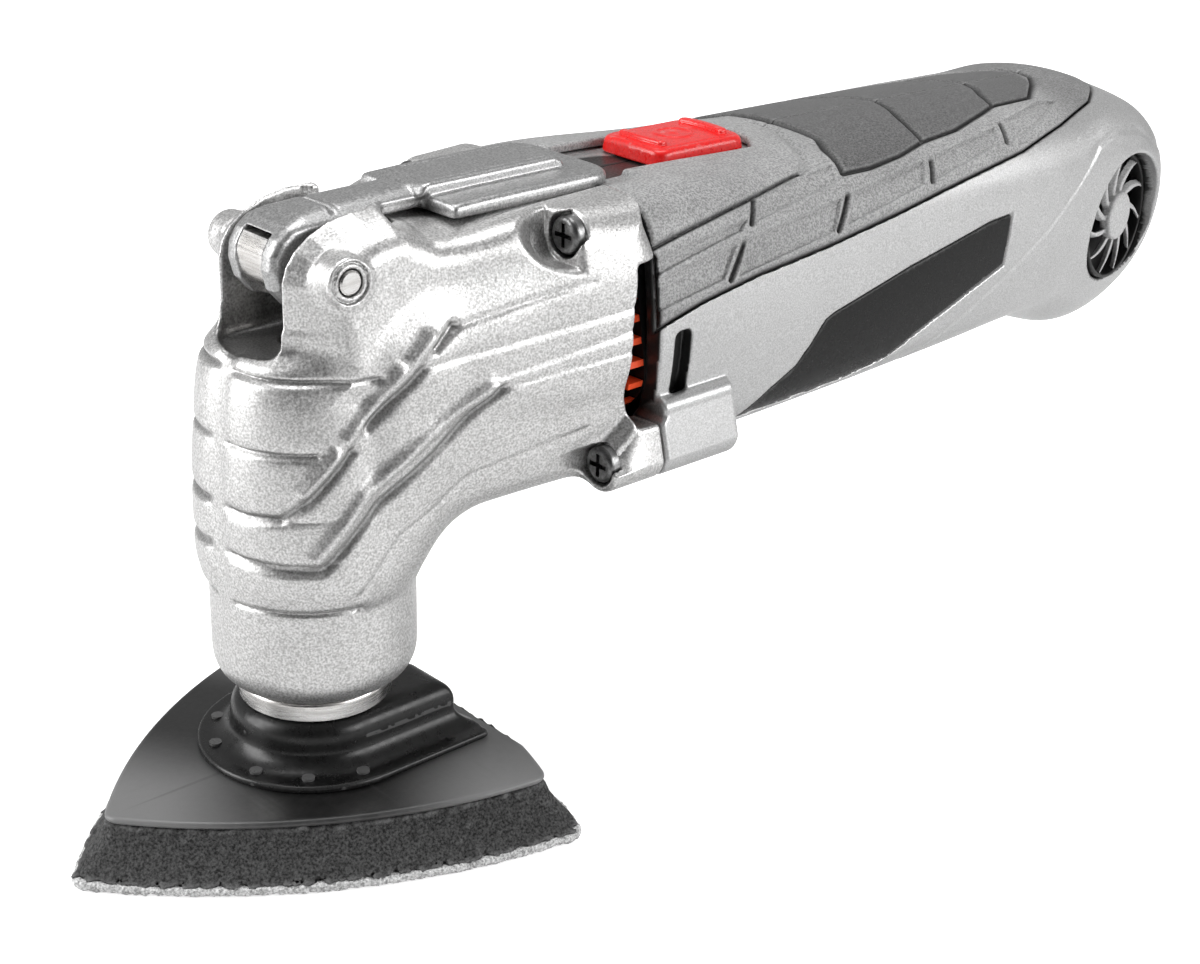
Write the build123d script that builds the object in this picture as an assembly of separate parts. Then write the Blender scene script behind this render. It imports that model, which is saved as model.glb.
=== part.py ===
from build123d import *
import math
import os

# Oscillating multi tool with a delta sanding pad, in millimetres.
# Inside this file z = 0 is the clamp face, where the pad's hub meets the spindle flange. The spindle axis
# is the line x = y = 0, and the handle runs towards +X. Before export the tool is lifted by PAD_HEIGHT, so
# that the origin of the finished model is the centre of the sanding face.

# ---------------------------------------------------------------- driving dimensions
PAD_HEIGHT = 22.6            # clamp face to sanding face
PAD_CORNER_R = 53.7          # spindle axis to a corner of the 93 mm sanding sheet
PAD_TOP_CORNER_R = 46.5      # the same for the backing plate
PAD_BULGE = 8.0              # how far each side of the pad bows outward
PAD_NOSE_R = 3.0
HOOK_THICKNESS = 1.6
FOAM_THICKNESS = 9.0
PLATE_THICKNESS = 1.5
HUB_FLANGE_THICKNESS = 1.5

FLANGE_R = 14.3              # spindle flange
FLANGE_THICKNESS = 3.5
SPINDLE_R = 7.5
SPINDLE_TOP = 69.0
CLAMP_BOLT_R = 3.4
CLAMP_TRAVEL = 2.5           # how far the lever pushes the clamp bolt down
SPRING_SEAT_Z = 30.0
SPRING_COLLAR_Z = 56.0

NECK_R = 19.2
NECK_BOTTOM = 3.8
COLUMN_R = 21.0
COLUMN_TAPER_Z = 56.0        # the column narrows above this height
COLUMN_TOP_R = 18.8
COLUMN_TOP = 74.0            # floor of the slot between the ears
EAR_GAP = 7.8                # half of the slot's width
EAR_OUT = 18.5
PIVOT_X = -2.8
PIVOT_Z = 85.0
PIN_R = 2.2
LEVER_RANGE = 110.0          # degrees the clamp lever swings
CAM_R = 5.5                  # cam radius over the bolt with the lever shut

JOINT_X = 57.0               # rear plane of the gear head
HOUSING_FRONT = 57.6
TAIL_X = 238.0
WALL = 2.4
GRIP_THICKNESS = 1.8
PANEL_THICKNESS = 0.8

MOTOR_Z = 63.0
ECCENTRICITY = 0.9
FORK_X = 30.5                # where the eccentric bearing runs in the fork
FORK_GAP = 9.45              # half of the fork's mouth
INTAKE_X = 211.5
INTAKE_Z = 58.3
INTAKE_R = 14.9
INTAKE_TILT = 10.9
CORD_Z = 58.0

RUNNING = 0.05               # radial clearance of a running fit
FAR = 120.0                  # reach of a cut that has to clear the whole tool

# Outline of the body along X: x, half width, top, bottom, height of the widest line
BODY_SECTIONS = [
    (HOUSING_FRONT, 31.7, 91.3, 38.5, 54.0),
    (100.0, 31.4, 90.6, 39.3, 55.0),
    (150.0, 30.7, 89.8, 41.4, 57.0),
    (178.0, 29.4, 89.4, 41.0, 58.0),
    (196.0, 28.1, 89.0, 36.6, 58.0),
    (212.0, 27.0, 87.6, 33.0, 58.0),
    (225.0, 23.8, 83.0, 34.6, 58.0),
    (233.0, 18.5, 76.5, 40.0, 58.0),
    (TAIL_X, 12.0, 69.5, 47.0, 58.0),
]
HEAD_SECTIONS = [
    (0.0, 21.0, 87.6, 35.0, 58.0),
    (28.0, 27.2, 88.6, 36.4, 56.0),
    (JOINT_X, 31.7, 91.3, 38.5, 54.0),
]


# ---------------------------------------------------------------- small helpers
def rod_z(radius, low, high, x=0.0, y=0.0):
    return Pos(x, y, (low + high) / 2) * Cylinder(radius, high - low)


def rod_x(radius, low, high, y=0.0, z=MOTOR_Z):
    return Pos((low + high) / 2, y, z) * Rot(0, 90, 0) * Cylinder(radius, high - low)


def rod_y(radius, low, high, x, z):
    return Pos(x, (low + high) / 2, z) * Rot(90, 0, 0) * Cylinder(radius, high - low)


def block(x, y, z):
    """A box from (low, high) pairs."""
    size = Box(x[1] - x[0], y[1] - y[0], z[1] - z[0])
    return Pos(sum(x) / 2, sum(y) / 2, sum(z) / 2) * size


def side_prism(points, low=-60.0, high=60.0):
    """A side-view outline of (x, z) points, extruded along Y."""
    outline = Polyline([(x, 0, z) for x, z in points], close=True)
    return Pos(0, high, 0) * extrude(make_face(outline), high - low, dir=(0, -1, 0))


def both_sides(shape):
    return shape + mirror(shape, Plane.XZ)


def group(shapes):
    return Compound(children=[solid for shape in shapes for solid in shape.solids()])


SHOULDER_SHARE = 0.80        # half width of the top face over the full half width
BELLY_SHARE = 0.62           # the same for the bottom face
SHOULDER_ROUNDING = 0.24     # corner radii over the half width
SIDE_ROUNDING = 0.32


def body_section(x, half, top, bottom, widest, inset=0.0):
    """Six-sided section with rounded corners, square to X."""
    w = half - inset
    corners = [(SHOULDER_SHARE * w, top - inset), (w, widest), (BELLY_SHARE * w, bottom + inset)]
    ring = corners + [(-y, z) for y, z in reversed(corners)]
    wire = Polyline([(x, y, z) for y, z in ring], close=True)
    face = make_face(wire)
    for corner, share in zip(corners, (SHOULDER_ROUNDING, SIDE_ROUNDING, SIDE_ROUNDING)):
        near = [v for v in face.vertices() if corner_gap(v, corner) < 1e-4]
        face = fillet(near, share * w)
    return face


def corner_gap(vertex, corner):
    return math.hypot(abs(vertex.Y) - corner[0], vertex.Z - corner[1])


def lofted(sections, inset=0.0, front=0.0, rear=0.0):
    """Solid through the sections. front and rear lengthen it beyond its first and last section."""
    rows = [list(row) for row in sections]
    rows[0][0] -= front
    rows[-1][0] += rear
    return loft([body_section(*row, inset=inset) for row in rows], ruled=True)


def pan_screw(head_r, head_h, shank_r, length):
    """Cross-head screw along Z. The underside of its head is at z = 0, and its tip is at z = -length."""
    head = rod_z(head_r, 0, head_h)
    head = fillet(head.edges().sort_by(Axis.Z)[-1], head_h * 0.45)
    arm_r = head_r * 0.62
    arm = block((-arm_r, arm_r), (-0.45, 0.45), (head_h * 0.35, head_h + 1))
    cross = arm + Rot(0, 0, 90) * arm
    return head - cross + rod_z(shank_r, -length, 0)


def ball_bearing(bore_r, outer_r, width, balls):
    """Outer ring, inner ring and balls about Z, centred on z = 0."""
    pitch = (bore_r + outer_r) / 2
    ball_r = (outer_r - bore_r) * 0.27
    land = (outer_r - bore_r) * 0.17
    groove = Torus(pitch, ball_r + RUNNING / 2)
    outer = rod_z(outer_r, -width / 2, width / 2) - rod_z(pitch + land, -width, width) - groove
    inner = rod_z(pitch - land, -width / 2, width / 2) - rod_z(bore_r, -width, width) - groove
    ring = [Rot(0, 0, 360 / balls * n) * Pos(pitch, 0, 0) * Sphere(ball_r) for n in range(balls)]
    return outer, inner, ring


# ---------------------------------------------------------------- sanding pad
def delta_face(corner_r, z):
    """Three-cornered outline with bowed sides and one corner towards -X."""
    mid = corner_r / 2 + PAD_BULGE
    arcs = []
    for turn in (180, 300, 60):
        a = math.radians(turn)
        m = math.radians(turn + 60)
        b = math.radians(turn + 120)
        start = (corner_r * math.cos(a), corner_r * math.sin(a), z)
        middle = (mid * math.cos(m), mid * math.sin(m), z)
        end = (corner_r * math.cos(b), corner_r * math.sin(b), z)
        arcs.append(ThreePointArc(start, middle, end))
    face = make_face(arcs)
    return fillet(face.vertices(), PAD_NOSE_R)


def u_shape(radius, rear, low, high):
    """Round at the front, straight sides running back to x = rear."""
    return rod_z(radius, low, high) + block((0, rear), (-radius, radius), (low, high))


PLATE_TOP = -PAD_HEIGHT + HOOK_THICKNESS + FOAM_THICKNESS + PLATE_THICKNESS
HUB_FLANGE_TOP = PLATE_TOP + HUB_FLANGE_THICKNESS
HUB_WALL = 2.0
HUB_R = 16.2
HUB_REAR = 21.0
HUB_FLANGE_R = 22.5
HUB_SLOT_HALF = CLAMP_BOLT_R + 0.5
RIVET_CIRCLE_R = 19.6
RIVET_TURNS = (100, 130, 160, 200, 230, 260)
RIVET_R = 0.8
RIVET_HEAD_R = 1.2
RIVET_HEAD_H = 0.5
DRIVE_PIN_CIRCLE_R = 10.5
DRIVE_PIN_R = 1.5
DRIVE_PIN_HALF = 1.5         # the pins reach this far into the hub and into the spindle flange


def on_circle(radius, degrees):
    return [(radius * math.cos(math.radians(t)), radius * math.sin(math.radians(t))) for t in degrees]


def make_pad():
    hook_top = -PAD_HEIGHT + HOOK_THICKNESS
    foam_top = hook_top + FOAM_THICKNESS
    hook = extrude(delta_face(PAD_CORNER_R, -PAD_HEIGHT), HOOK_THICKNESS)
    foam = loft([delta_face(PAD_CORNER_R, hook_top), delta_face(PAD_TOP_CORNER_R, foam_top)])
    plate = extrude(delta_face(PAD_TOP_CORNER_R, foam_top), PLATE_THICKNESS)
    cup = u_shape(HUB_R, HUB_REAR, HUB_FLANGE_TOP, 0)
    cup = fillet(cup.edges().group_by(Axis.Z)[-1], 1.6)
    hub = cup + u_shape(HUB_FLANGE_R, HUB_REAR + 3, PLATE_TOP, HUB_FLANGE_TOP)
    hub -= u_shape(HUB_R - HUB_WALL, HUB_REAR + 9, PLATE_TOP - 1, -HUB_WALL)
    hub -= u_shape(HUB_SLOT_HALF, HUB_REAR + 9, -HUB_WALL - 1, 1)
    rivets = []
    for x, y in on_circle(RIVET_CIRCLE_R, RIVET_TURNS):
        hole = rod_z(RIVET_R, foam_top - 1, 1, x, y)
        hub -= hole
        plate -= hole
        shank = rod_z(RIVET_R, foam_top, HUB_FLANGE_TOP, x, y)
        rivets.append(shank + rod_z(RIVET_HEAD_R, HUB_FLANGE_TOP, HUB_FLANGE_TOP + RIVET_HEAD_H, x, y))
    pins = []
    for x, y in on_circle(DRIVE_PIN_CIRCLE_R, range(30, 360, 60)):
        hub -= rod_z(DRIVE_PIN_R + RUNNING, -HUB_WALL - 1, 1, x, y)
        pins.append(rod_z(DRIVE_PIN_R, -DRIVE_PIN_HALF, DRIVE_PIN_HALF, x, y))
    return {
        "hook_layer": hook,
        "pad_foam": foam,
        "pad_plate": plate,
        "pad_hub": hub,
        "hub_rivets": group(rivets),
        "drive_pins": group(pins),
    }


# ---------------------------------------------------------------- spindle and clamp
LOWER_BEARING_Z = 12.5
UPPER_BEARING_Z = 49.5
SPINDLE_BEARING_R = 14.0
SPINDLE_BEARING_WIDTH = 7.0
SPRING_BORE_R = 5.6
SPRING_WIRE_R = 0.6
SPRING_R = 4.5
SPRING_PITCH = 3.2
COLLAR_R = 5.5
COLLAR_H = 3.0
FORK_HUB_R = 11.5
FORK_WALL = 3.4
CLAMP_FLANGE_R = 8.6         # foot of the clamp bolt, which grips the hub from below
CLAMP_FLANGE_LOW = -4.8


def make_spindle(pins):
    flange = rod_z(FLANGE_R, 0, FLANGE_THICKNESS)
    flange = fillet(flange.edges().sort_by(Axis.Z)[-1], 0.8)
    collar = rod_z(SPINDLE_R + 1.5, 0, LOWER_BEARING_Z - SPINDLE_BEARING_WIDTH / 2)
    spindle = flange + collar + rod_z(SPINDLE_R, 0, SPINDLE_TOP)
    spindle -= rod_z(CLAMP_BOLT_R + RUNNING, -1, SPINDLE_TOP + 1)
    spindle -= rod_z(SPRING_BORE_R, SPRING_SEAT_Z, SPINDLE_TOP + 1)
    spindle -= pins
    hub = rod_z(FORK_HUB_R, MOTOR_Z - 6, MOTOR_Z + 5)
    arm = block((4, FORK_X - 4), (-7, 7), (MOTOR_Z - 5, MOTOR_Z + 4))
    yoke_x = (FORK_X - 7.5, FORK_X + 4.5)
    yoke_out = FORK_GAP + FORK_WALL
    yoke = block(yoke_x, (-yoke_out, yoke_out), (MOTOR_Z - 7, MOTOR_Z + 7))
    mouth = block((FORK_X - 3.8, FORK_X + 9), (-FORK_GAP, FORK_GAP), (MOTOR_Z - 9, MOTOR_Z + 9))
    fork = hub + arm + yoke - mouth - rod_z(SPINDLE_R, 0, FAR)
    spring_low = SPRING_SEAT_Z + SPRING_WIRE_R + 0.1
    spring_height = SPRING_COLLAR_Z - SPRING_SEAT_Z - 2 * (SPRING_WIRE_R + 0.1)
    coil = Pos(0, 0, spring_low) * Helix(pitch=SPRING_PITCH, height=spring_height, radius=SPRING_R)
    start = Plane(origin=coil @ 0, z_dir=coil % 0)
    spring = sweep(start * Circle(SPRING_WIRE_R), coil, is_frenet=True)
    return {"spindle": spindle, "oscillation_fork": fork, "clamp_spring": spring}


def make_clamp():
    top = PIVOT_Z - CAM_R - 0.3
    bolt = rod_z(CLAMP_BOLT_R, CLAMP_FLANGE_LOW, top)
    bolt += rod_z(CLAMP_FLANGE_R, CLAMP_FLANGE_LOW, -HUB_WALL - 0.03)
    bolt = chamfer(bolt.edges().sort_by(Axis.Z)[-1], 0.5)
    collar = rod_z(COLLAR_R, SPRING_COLLAR_Z, SPRING_COLLAR_Z + COLLAR_H) - rod_z(CLAMP_BOLT_R, 0, FAR)
    return {"clamp_bolt": bolt, "spring_collar": collar}


# ---------------------------------------------------------------- lever
def cam_radius(turn):
    """Cam radius at a direction turned from straight down towards the front, in degrees."""
    travel = CLAMP_TRAVEL * min(max(turn, 0), LEVER_RANGE) / LEVER_RANGE
    return CAM_R + travel


def cam_outline():
    steps = range(-10, 131, 10)
    down = [(cam_radius(t), math.radians(270 - t)) for t in steps]
    return [(PIVOT_X + r * math.cos(a), PIVOT_Z + r * math.sin(a)) for r, a in down]


CAM_HALF = 3.7
CHEEK_HALF = EAR_GAP - 0.5
WING_HALF = 14.0
WING_X = (22.0, 61.0)
WING_Z = (90.2, 93.6)
CHEEK_SHAPE = [(-10.6, 84), (-9.0, 79.6), (-5.0, 77.4), (0, 77.4), (4.4, 80), (8, 85), (13, 89.1),
               (22, 90.2), (55, 90.2), (55, 95.6), (28, 95.6), (22, 94.2), (5, 94.6), (-1, 94.2),
               (-7, 92), (-10.2, 88.5)]
CAM_SLOT = [(-14, 76), (5.2, 76), (5.2, 90.5), (-14, 92.6)]
CAM_LIMIT = [(-14, 76), (5.1, 76), (5.1, 90.4), (-14, 92.5)]


def make_lever():
    spiral = Spline([(x, 0, z) for x, z in cam_outline()])
    close = Polyline([spiral @ 1, (3.0, 0, PIVOT_Z + 5.0), (5.0, 0, PIVOT_Z - 2.0), spiral @ 0])
    profile = make_face([spiral, close])
    cam = Pos(0, CAM_HALF, 0) * extrude(profile, 2 * CAM_HALF, dir=(0, -1, 0))
    lever = side_prism(CHEEK_SHAPE, -CHEEK_HALF, CHEEK_HALF)
    wing = block(WING_X, (-WING_HALF, WING_HALF), WING_Z)
    lever += fillet(wing.edges().filter_by(Axis.Z), 5.0)
    lever -= side_prism(CAM_SLOT, -CAM_HALF, CAM_HALF)
    cam &= side_prism(CAM_LIMIT, -CAM_HALF, CAM_HALF)
    bore = rod_y(PIN_R + RUNNING, -EAR_OUT, EAR_OUT, PIVOT_X, PIVOT_Z)
    return {"clamp_lever": lever - bore, "lever_cam": cam - bore}


# ---------------------------------------------------------------- gear head
UPPER_SCREW = (23.0, 86.0)   # y, z of the screws that hold the head to the housing
LOWER_SCREW = (29.0, 42.4)
UPPER_SEAT_X = 43.0
LOWER_SEAT_X = 47.0
BOSS_R = 5.8
UPPER_BOSS_R = 4.6
SCREW_HEAD_R = 3.6
SCREW_CLEARANCE_R = 2.1      # the four head screws pass through these holes
SCREW_BITE_R = 2.0
LEVER_FLAT_HALF = 15.5       # the lever's wings lie on this flat
LEVER_FLAT_Z = 89.6
NECK_BORE_R = 12.0
SHAFT_ROOM_R = 17.0
FORK_ROOM_R = 16.5
ROOF = 3.5                   # thickness of the floor of the slot between the ears
EAR_SHAPE = [(-10.4, 70), (-10.4, 88), (-8.6, 92), (-4.5, 94.4), (1, 95), (6, 94), (9.5, 91.5),
             (12, 89.0), (20, 88.4), (20, 70)]
HEAD_CAVITY = [
    (8.0, 18.6, 84.0, 45.0, 58.0),
    (28.0, 23.4, 85.6, 40.4, 56.0),
    (JOINT_X + 0.01, 28.2, 88.4, 41.4, 54.0),
]
OUTLET_DEPTH = 3.0           # the head's rear edge is cut back here to let the air out
OUTLET_Z = (48.0, 80.0)


def boss_web(x, side):
    """Joins a lower screw boss to the body beside it."""
    y, z = LOWER_SCREW
    return block(x, sorted((side * 20, side * y)), (z - 4, z + 6))


def make_head():
    neck = rod_z(NECK_R, NECK_BOTTOM, 30)
    neck = fillet(neck.edges().sort_by(Axis.Z)[0], 4.4)
    column = rod_z(COLUMN_R, 24, COLUMN_TAPER_Z)
    column = fillet(column.edges().group_by(Axis.Z)[0], 1.5)
    taper_height = COLUMN_TOP - COLUMN_TAPER_Z
    taper = Pos(0, 0, COLUMN_TAPER_Z + taper_height / 2) * Cone(COLUMN_R, COLUMN_TOP_R, taper_height)
    taper = fillet(taper.edges().sort_by(Axis.Z)[-1], 3.0)
    ears = side_prism(EAR_SHAPE, -EAR_OUT, EAR_OUT)
    ears &= rod_z(COLUMN_R, 60, FAR) + block((0, 30), (-FAR, FAR), (60, FAR))
    barrel = lofted(HEAD_SECTIONS)
    head = neck + column + taper + ears + barrel
    for side in (-1, 1):
        y, z = LOWER_SCREW
        head += rod_x(BOSS_R, LOWER_SEAT_X, JOINT_X, side * y, z)
        head += boss_web((LOWER_SEAT_X + 2, JOINT_X), side)
    # slot between the ears, and the flat that the lever lies on
    head -= block((-FAR, 14.5), (-EAR_GAP, EAR_GAP), (COLUMN_TOP, FAR))
    lever_flat = block((14, 80), (-LEVER_FLAT_HALF, LEVER_FLAT_HALF), (LEVER_FLAT_Z, FAR))
    head -= lever_flat
    # bearing bores
    roof_z = COLUMN_TOP - ROOF
    upper_seat = UPPER_BEARING_Z - SPINDLE_BEARING_WIDTH / 2
    head -= rod_z(SPINDLE_BEARING_R, 0, LOWER_BEARING_Z + SPINDLE_BEARING_WIDTH / 2)
    head -= rod_z(NECK_BORE_R, 0, roof_z)
    head -= rod_z(SHAFT_ROOM_R, 18, 44)
    head -= rod_z(SPINDLE_BEARING_R, upper_seat, roof_z)
    head -= rod_z(FORK_ROOM_R, 54.5, roof_z)
    # clear way for the fork and the motor's nose
    roof = block((-FAR, 17.5), (-EAR_GAP - 3, EAR_GAP + 3), (roof_z, FAR))
    web = rod_z(COLUMN_R, 38, 54.5)
    under_lever = block((-10, 80), (-19, 19), (86.6, FAR))
    head -= lofted(HEAD_CAVITY) - roof - web - under_lever
    head -= rod_z(CLAMP_BOLT_R + 1.0, 60, 80)
    head -= rod_y(PIN_R, -FAR, FAR, PIVOT_X, PIVOT_Z)
    # screw bosses inside, pockets for the screw heads and holes for the shanks
    for side in (-1, 1):
        y, z = UPPER_SCREW
        boss = rod_x(UPPER_BOSS_R, UPPER_SEAT_X - 4, JOINT_X, side * y, z) & barrel
        head += boss - lever_flat
        head -= rod_x(SCREW_HEAD_R + 1.1, UPPER_SEAT_X - 12, UPPER_SEAT_X, side * y, z)
        head -= rod_x(SCREW_CLEARANCE_R, 0, JOINT_X + 1, side * y, z)
        y, z = LOWER_SCREW
        head -= rod_x(SCREW_CLEARANCE_R, LOWER_SEAT_X - 5, JOINT_X + 1, side * y, z)
    outlet = block((JOINT_X - OUTLET_DEPTH, JOINT_X + 1), (24, FAR), OUTLET_Z)
    head -= both_sides(outlet)
    cap = rod_z(SPINDLE_BEARING_R, NECK_BOTTOM + 0.2, LOWER_BEARING_Z - SPINDLE_BEARING_WIDTH / 2)
    cap -= rod_z(SPINDLE_R + 2.1, 0, 20)
    pin = rod_y(PIN_R, -EAR_OUT - 0.4, EAR_OUT + 0.4, PIVOT_X, PIVOT_Z)
    pin = chamfer(pin.edges(), 0.3)
    return {"gear_head_casting": head, "neck_cap": cap, "lever_pin": pin}


def make_head_screws():
    screw = pan_screw(SCREW_HEAD_R, 2.4, SCREW_BITE_R, 21)
    places = [(UPPER_SEAT_X, UPPER_SCREW), (LOWER_SEAT_X, LOWER_SCREW)]
    screws = []
    for x, (y, z) in places:
        for side in (-1, 1):
            screws.append(Pos(x, side * y, z) * Rot(0, -90, 0) * screw)
    return group(screws)


# ---------------------------------------------------------------- motor housing
SCREW_PLACES = [(158.0, 48.5), (158.0, 74.5), (187.0, 80.5), (190.0, 44.5), (222.0, 44.5)]
GRIP_EDGE = [(58, 66.2), (85.2, 71.2), (125.5, 75.9), (163.7, 82.4), (187, 86.6), (203, 88.2), (206, 92),
             (206, 120), (58, 120)]
PANEL_EDGE = [(162.6, 69.4), (160.9, 58.1), (143, 52), (124, 45.3), (110, 44), (82.2, 43.7), (96.4, 50.2),
              (107.3, 59.1), (154.6, 68.7)]
STATOR_R = 20.5
STATOR_FRAMES = ((79, 82), (110, 113))
REAR_SEAT_X = (145.5, 152.5)
SWITCH_POCKET = (66, 105)
LINK_HALF = 5.4              # half width of the way along the top for the switch link
CLOSING_BOSS_R = 4.2
SIDE_SLOT_X = (62, 66)
SIDE_SLOT_Z = (51, 64.5)
CORD_BORE_R = 6.0


def slab(x0, x1):
    return block((x0, x1), (-FAR, FAR), (0, FAR))


def intake_place(side):
    """Frame at the centre of an intake, with its Z axis pointing out of the tool."""
    tilt = math.radians(INTAKE_TILT)
    out = (math.sin(tilt), side * math.cos(tilt), 0)
    return Plane(origin=(INTAKE_X, side * 25.0, INTAKE_Z), x_dir=(0, 0, 1), z_dir=out)


def make_housing():
    outer = lofted(BODY_SECTIONS)
    under_grip = lofted(BODY_SECTIONS, GRIP_THICKNESS, front=1, rear=1)
    under_panel = lofted(BODY_SECTIONS, PANEL_THICKNESS, front=1, rear=1)
    cavity = lofted(BODY_SECTIONS, GRIP_THICKNESS + WALL, front=1, rear=-3)
    lever_flat = block((0, SWITCH_POCKET[0]), (-LEVER_FLAT_HALF, LEVER_FLAT_HALF), (LEVER_FLAT_Z, FAR))
    switch_pocket = block(SWITCH_POCKET, (-9.6, 9.6), (88.2, FAR))
    recess = lever_flat + switch_pocket
    layer = (outer & side_prism(GRIP_EDGE)) - under_grip - recess
    panels = (outer & side_prism(PANEL_EDGE)) - under_panel
    shell = outer - layer - panels - cavity - recess - rod_x(STATOR_R, *CORE_X)

    # frames that carry the stator, the rear bearing and the brush gear
    link_way = block((60, 175), (-LINK_HALF, LINK_HALF), (83.3, 87.2))
    for low, high in STATOR_FRAMES:
        shell += (cavity & slab(low, high)) - rod_x(STATOR_R, 0, FAR) - link_way
    seat = (cavity & slab(*REAR_SEAT_X)) - rod_x(REAR_BEARING_R, 144, 152) - rod_x(5, 140, 160) - link_way
    windows = block((140, 156), (13, 40), (50, 76))
    shell += seat - both_sides(windows)

    # bosses for the four head screws
    for side in (-1, 1):
        y, z = UPPER_SCREW
        upper = rod_x(UPPER_BOSS_R, HOUSING_FRONT, 70, side * y, z) & outer
        layer -= upper
        shell += upper - rod_x(FAN_R + 1.0, 50, 80)
        y, z = LOWER_SCREW
        shell += rod_x(BOSS_R, HOUSING_FRONT, 78, side * y, z)
        shell += boss_web((HOUSING_FRONT, 76), side)
    shell -= recess
    for side in (-1, 1):
        for y, z in (UPPER_SCREW, LOWER_SCREW):
            shell -= rod_x(SCREW_BITE_R, HOUSING_FRONT - 1, 68.5, side * y, z)

    # bosses for the screws that close the two halves
    for x, z in SCREW_PLACES:
        shell += rod_y(CLOSING_BOSS_R, -FAR, FAR, x, z) & cavity
    # way through the wall for the switch link, side slots, intakes and the cord
    shell -= block((76, 98), (-LINK_HALF, LINK_HALF), (80, 100))
    slot = block(SIDE_SLOT_X, (20, 60), SIDE_SLOT_Z)
    shell -= both_sides(fillet(slot.edges().filter_by(Axis.Y), 1.6))
    for side in (-1, 1):
        shell -= intake_place(side) * Pos(0, 0, -2) * Cylinder(INTAKE_R, 12)
    shell -= rod_x(CORD_BORE_R, 228, 260, 0, CORD_Z)

    halves = {}
    for name, side in (("left", -1), ("right", 1)):
        half = block((0, 300), sorted((0, side * FAR)), (0, FAR))
        own = shell & half
        for x, z in SCREW_PLACES:
            if side > 0:
                own -= rod_y(CLOSING_SHANK_R + 0.35, -1, 60, x, z)
                own -= rod_y(CLOSING_HEAD_R + 0.2, CLOSING_SEAT_Y, 60, x, z)
            else:
                own -= rod_y(CLOSING_SHANK_R + RUNNING, -15, 1, x, z)
        halves["housing_" + name] = own
        halves["grip_" + name] = layer & half
        halves["side_panel_" + name] = panels & half
    return halves


CLOSING_HEAD_R = 3.2
CLOSING_SHANK_R = 1.35
CLOSING_SEAT_Y = 14.0


def make_housing_screws():
    screw = pan_screw(CLOSING_HEAD_R, 2.2, CLOSING_SHANK_R, 26)
    return group([Pos(x, CLOSING_SEAT_Y, z) * Rot(-90, 0, 0) * screw for x, z in SCREW_PLACES])


def make_intakes():
    depth = 2.6
    blade_count = 11
    grille = rod_z(INTAKE_R - RUNNING, -depth, 0) - rod_z(INTAKE_R - 1.2, -5, 5)
    grille += rod_z(4.8, -depth, 0.3)
    for n in range(blade_count):
        blade = block((4.0, INTAKE_R - 0.8), (-0.55, 0.55), (0.2 - depth, -0.4))
        grille += Rot(0, 0, 360 / blade_count * n) * blade
    grille = Rot(0, 0, 8) * grille
    return {
        "intake_grille_left": intake_place(-1) * grille,
        "intake_grille_right": intake_place(1) * grille,
    }


BAFFLE_X = (58.2, 60.6)
BAFFLE_BAR_X = (54.3, 59.4)
BAFFLE_BARS = 7
BAFFLE_PITCH = 4.2


def make_baffle():
    """Ring between the fan and the outlet, with a row of bars in the gap on each side."""
    ring = rod_x(24.5, *BAFFLE_X) - rod_x(FAN_R + 1.0, 50, 70)
    side = block(BAFFLE_X, (22.6, 27.0), (48.5, 78.0))
    for n in range(BAFFLE_BARS):
        z = 50.5 + BAFFLE_PITCH * n
        side += block(BAFFLE_BAR_X, (23.0, 27.0), (z - 0.6, z + 0.6))
    baffle = ring + both_sides(side)
    baffle &= lofted(BODY_SECTIONS, GRIP_THICKNESS + WALL + 0.2, front=8)
    for side in (-1, 1):
        y, z = UPPER_SCREW
        baffle -= rod_x(UPPER_BOSS_R + 0.2, 50, 70, side * y, z)
    return baffle


# ---------------------------------------------------------------- motor
FAN_X = (62.0, 71.0)
FAN_R = 19.5
CORE_X = (78.0, 116.0)
COMMUTATOR_X = (124.0, 138.0)
FRONT_BEARING_X = 48.5
REAR_BEARING_X = 149.0
ARMATURE_R = 13.6
ARMATURE_SLOTS = 12
COMMUTATOR_R = 11.5
COMMUTATOR_BARS = 24
FAN_BLADES = 13
FRONT_BEARING_R = 11.0
REAR_BEARING_R = 9.5
SHAFT_FRONT_R = 4.0
SHAFT_MIDDLE_R = 5.0
SHAFT_REAR_R = 3.5
SHAFT_NOSE_R = 3.0           # off-centre nose that carries the eccentric bearing


def on_motor_axis(x, shape):
    """Moves a shape built about Z so that its axis is the motor's and z = 0 is at x."""
    return Pos(x, 0, MOTOR_Z) * Rot(0, 90, 0) * shape


def round_motor(count, shape):
    """Copies of a shape placed round the motor axis. The shape is drawn with that axis at z = 0."""
    return [Pos(0, 0, MOTOR_Z) * Rot(360 / count * n, 0, 0) * shape for n in range(count)]


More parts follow.
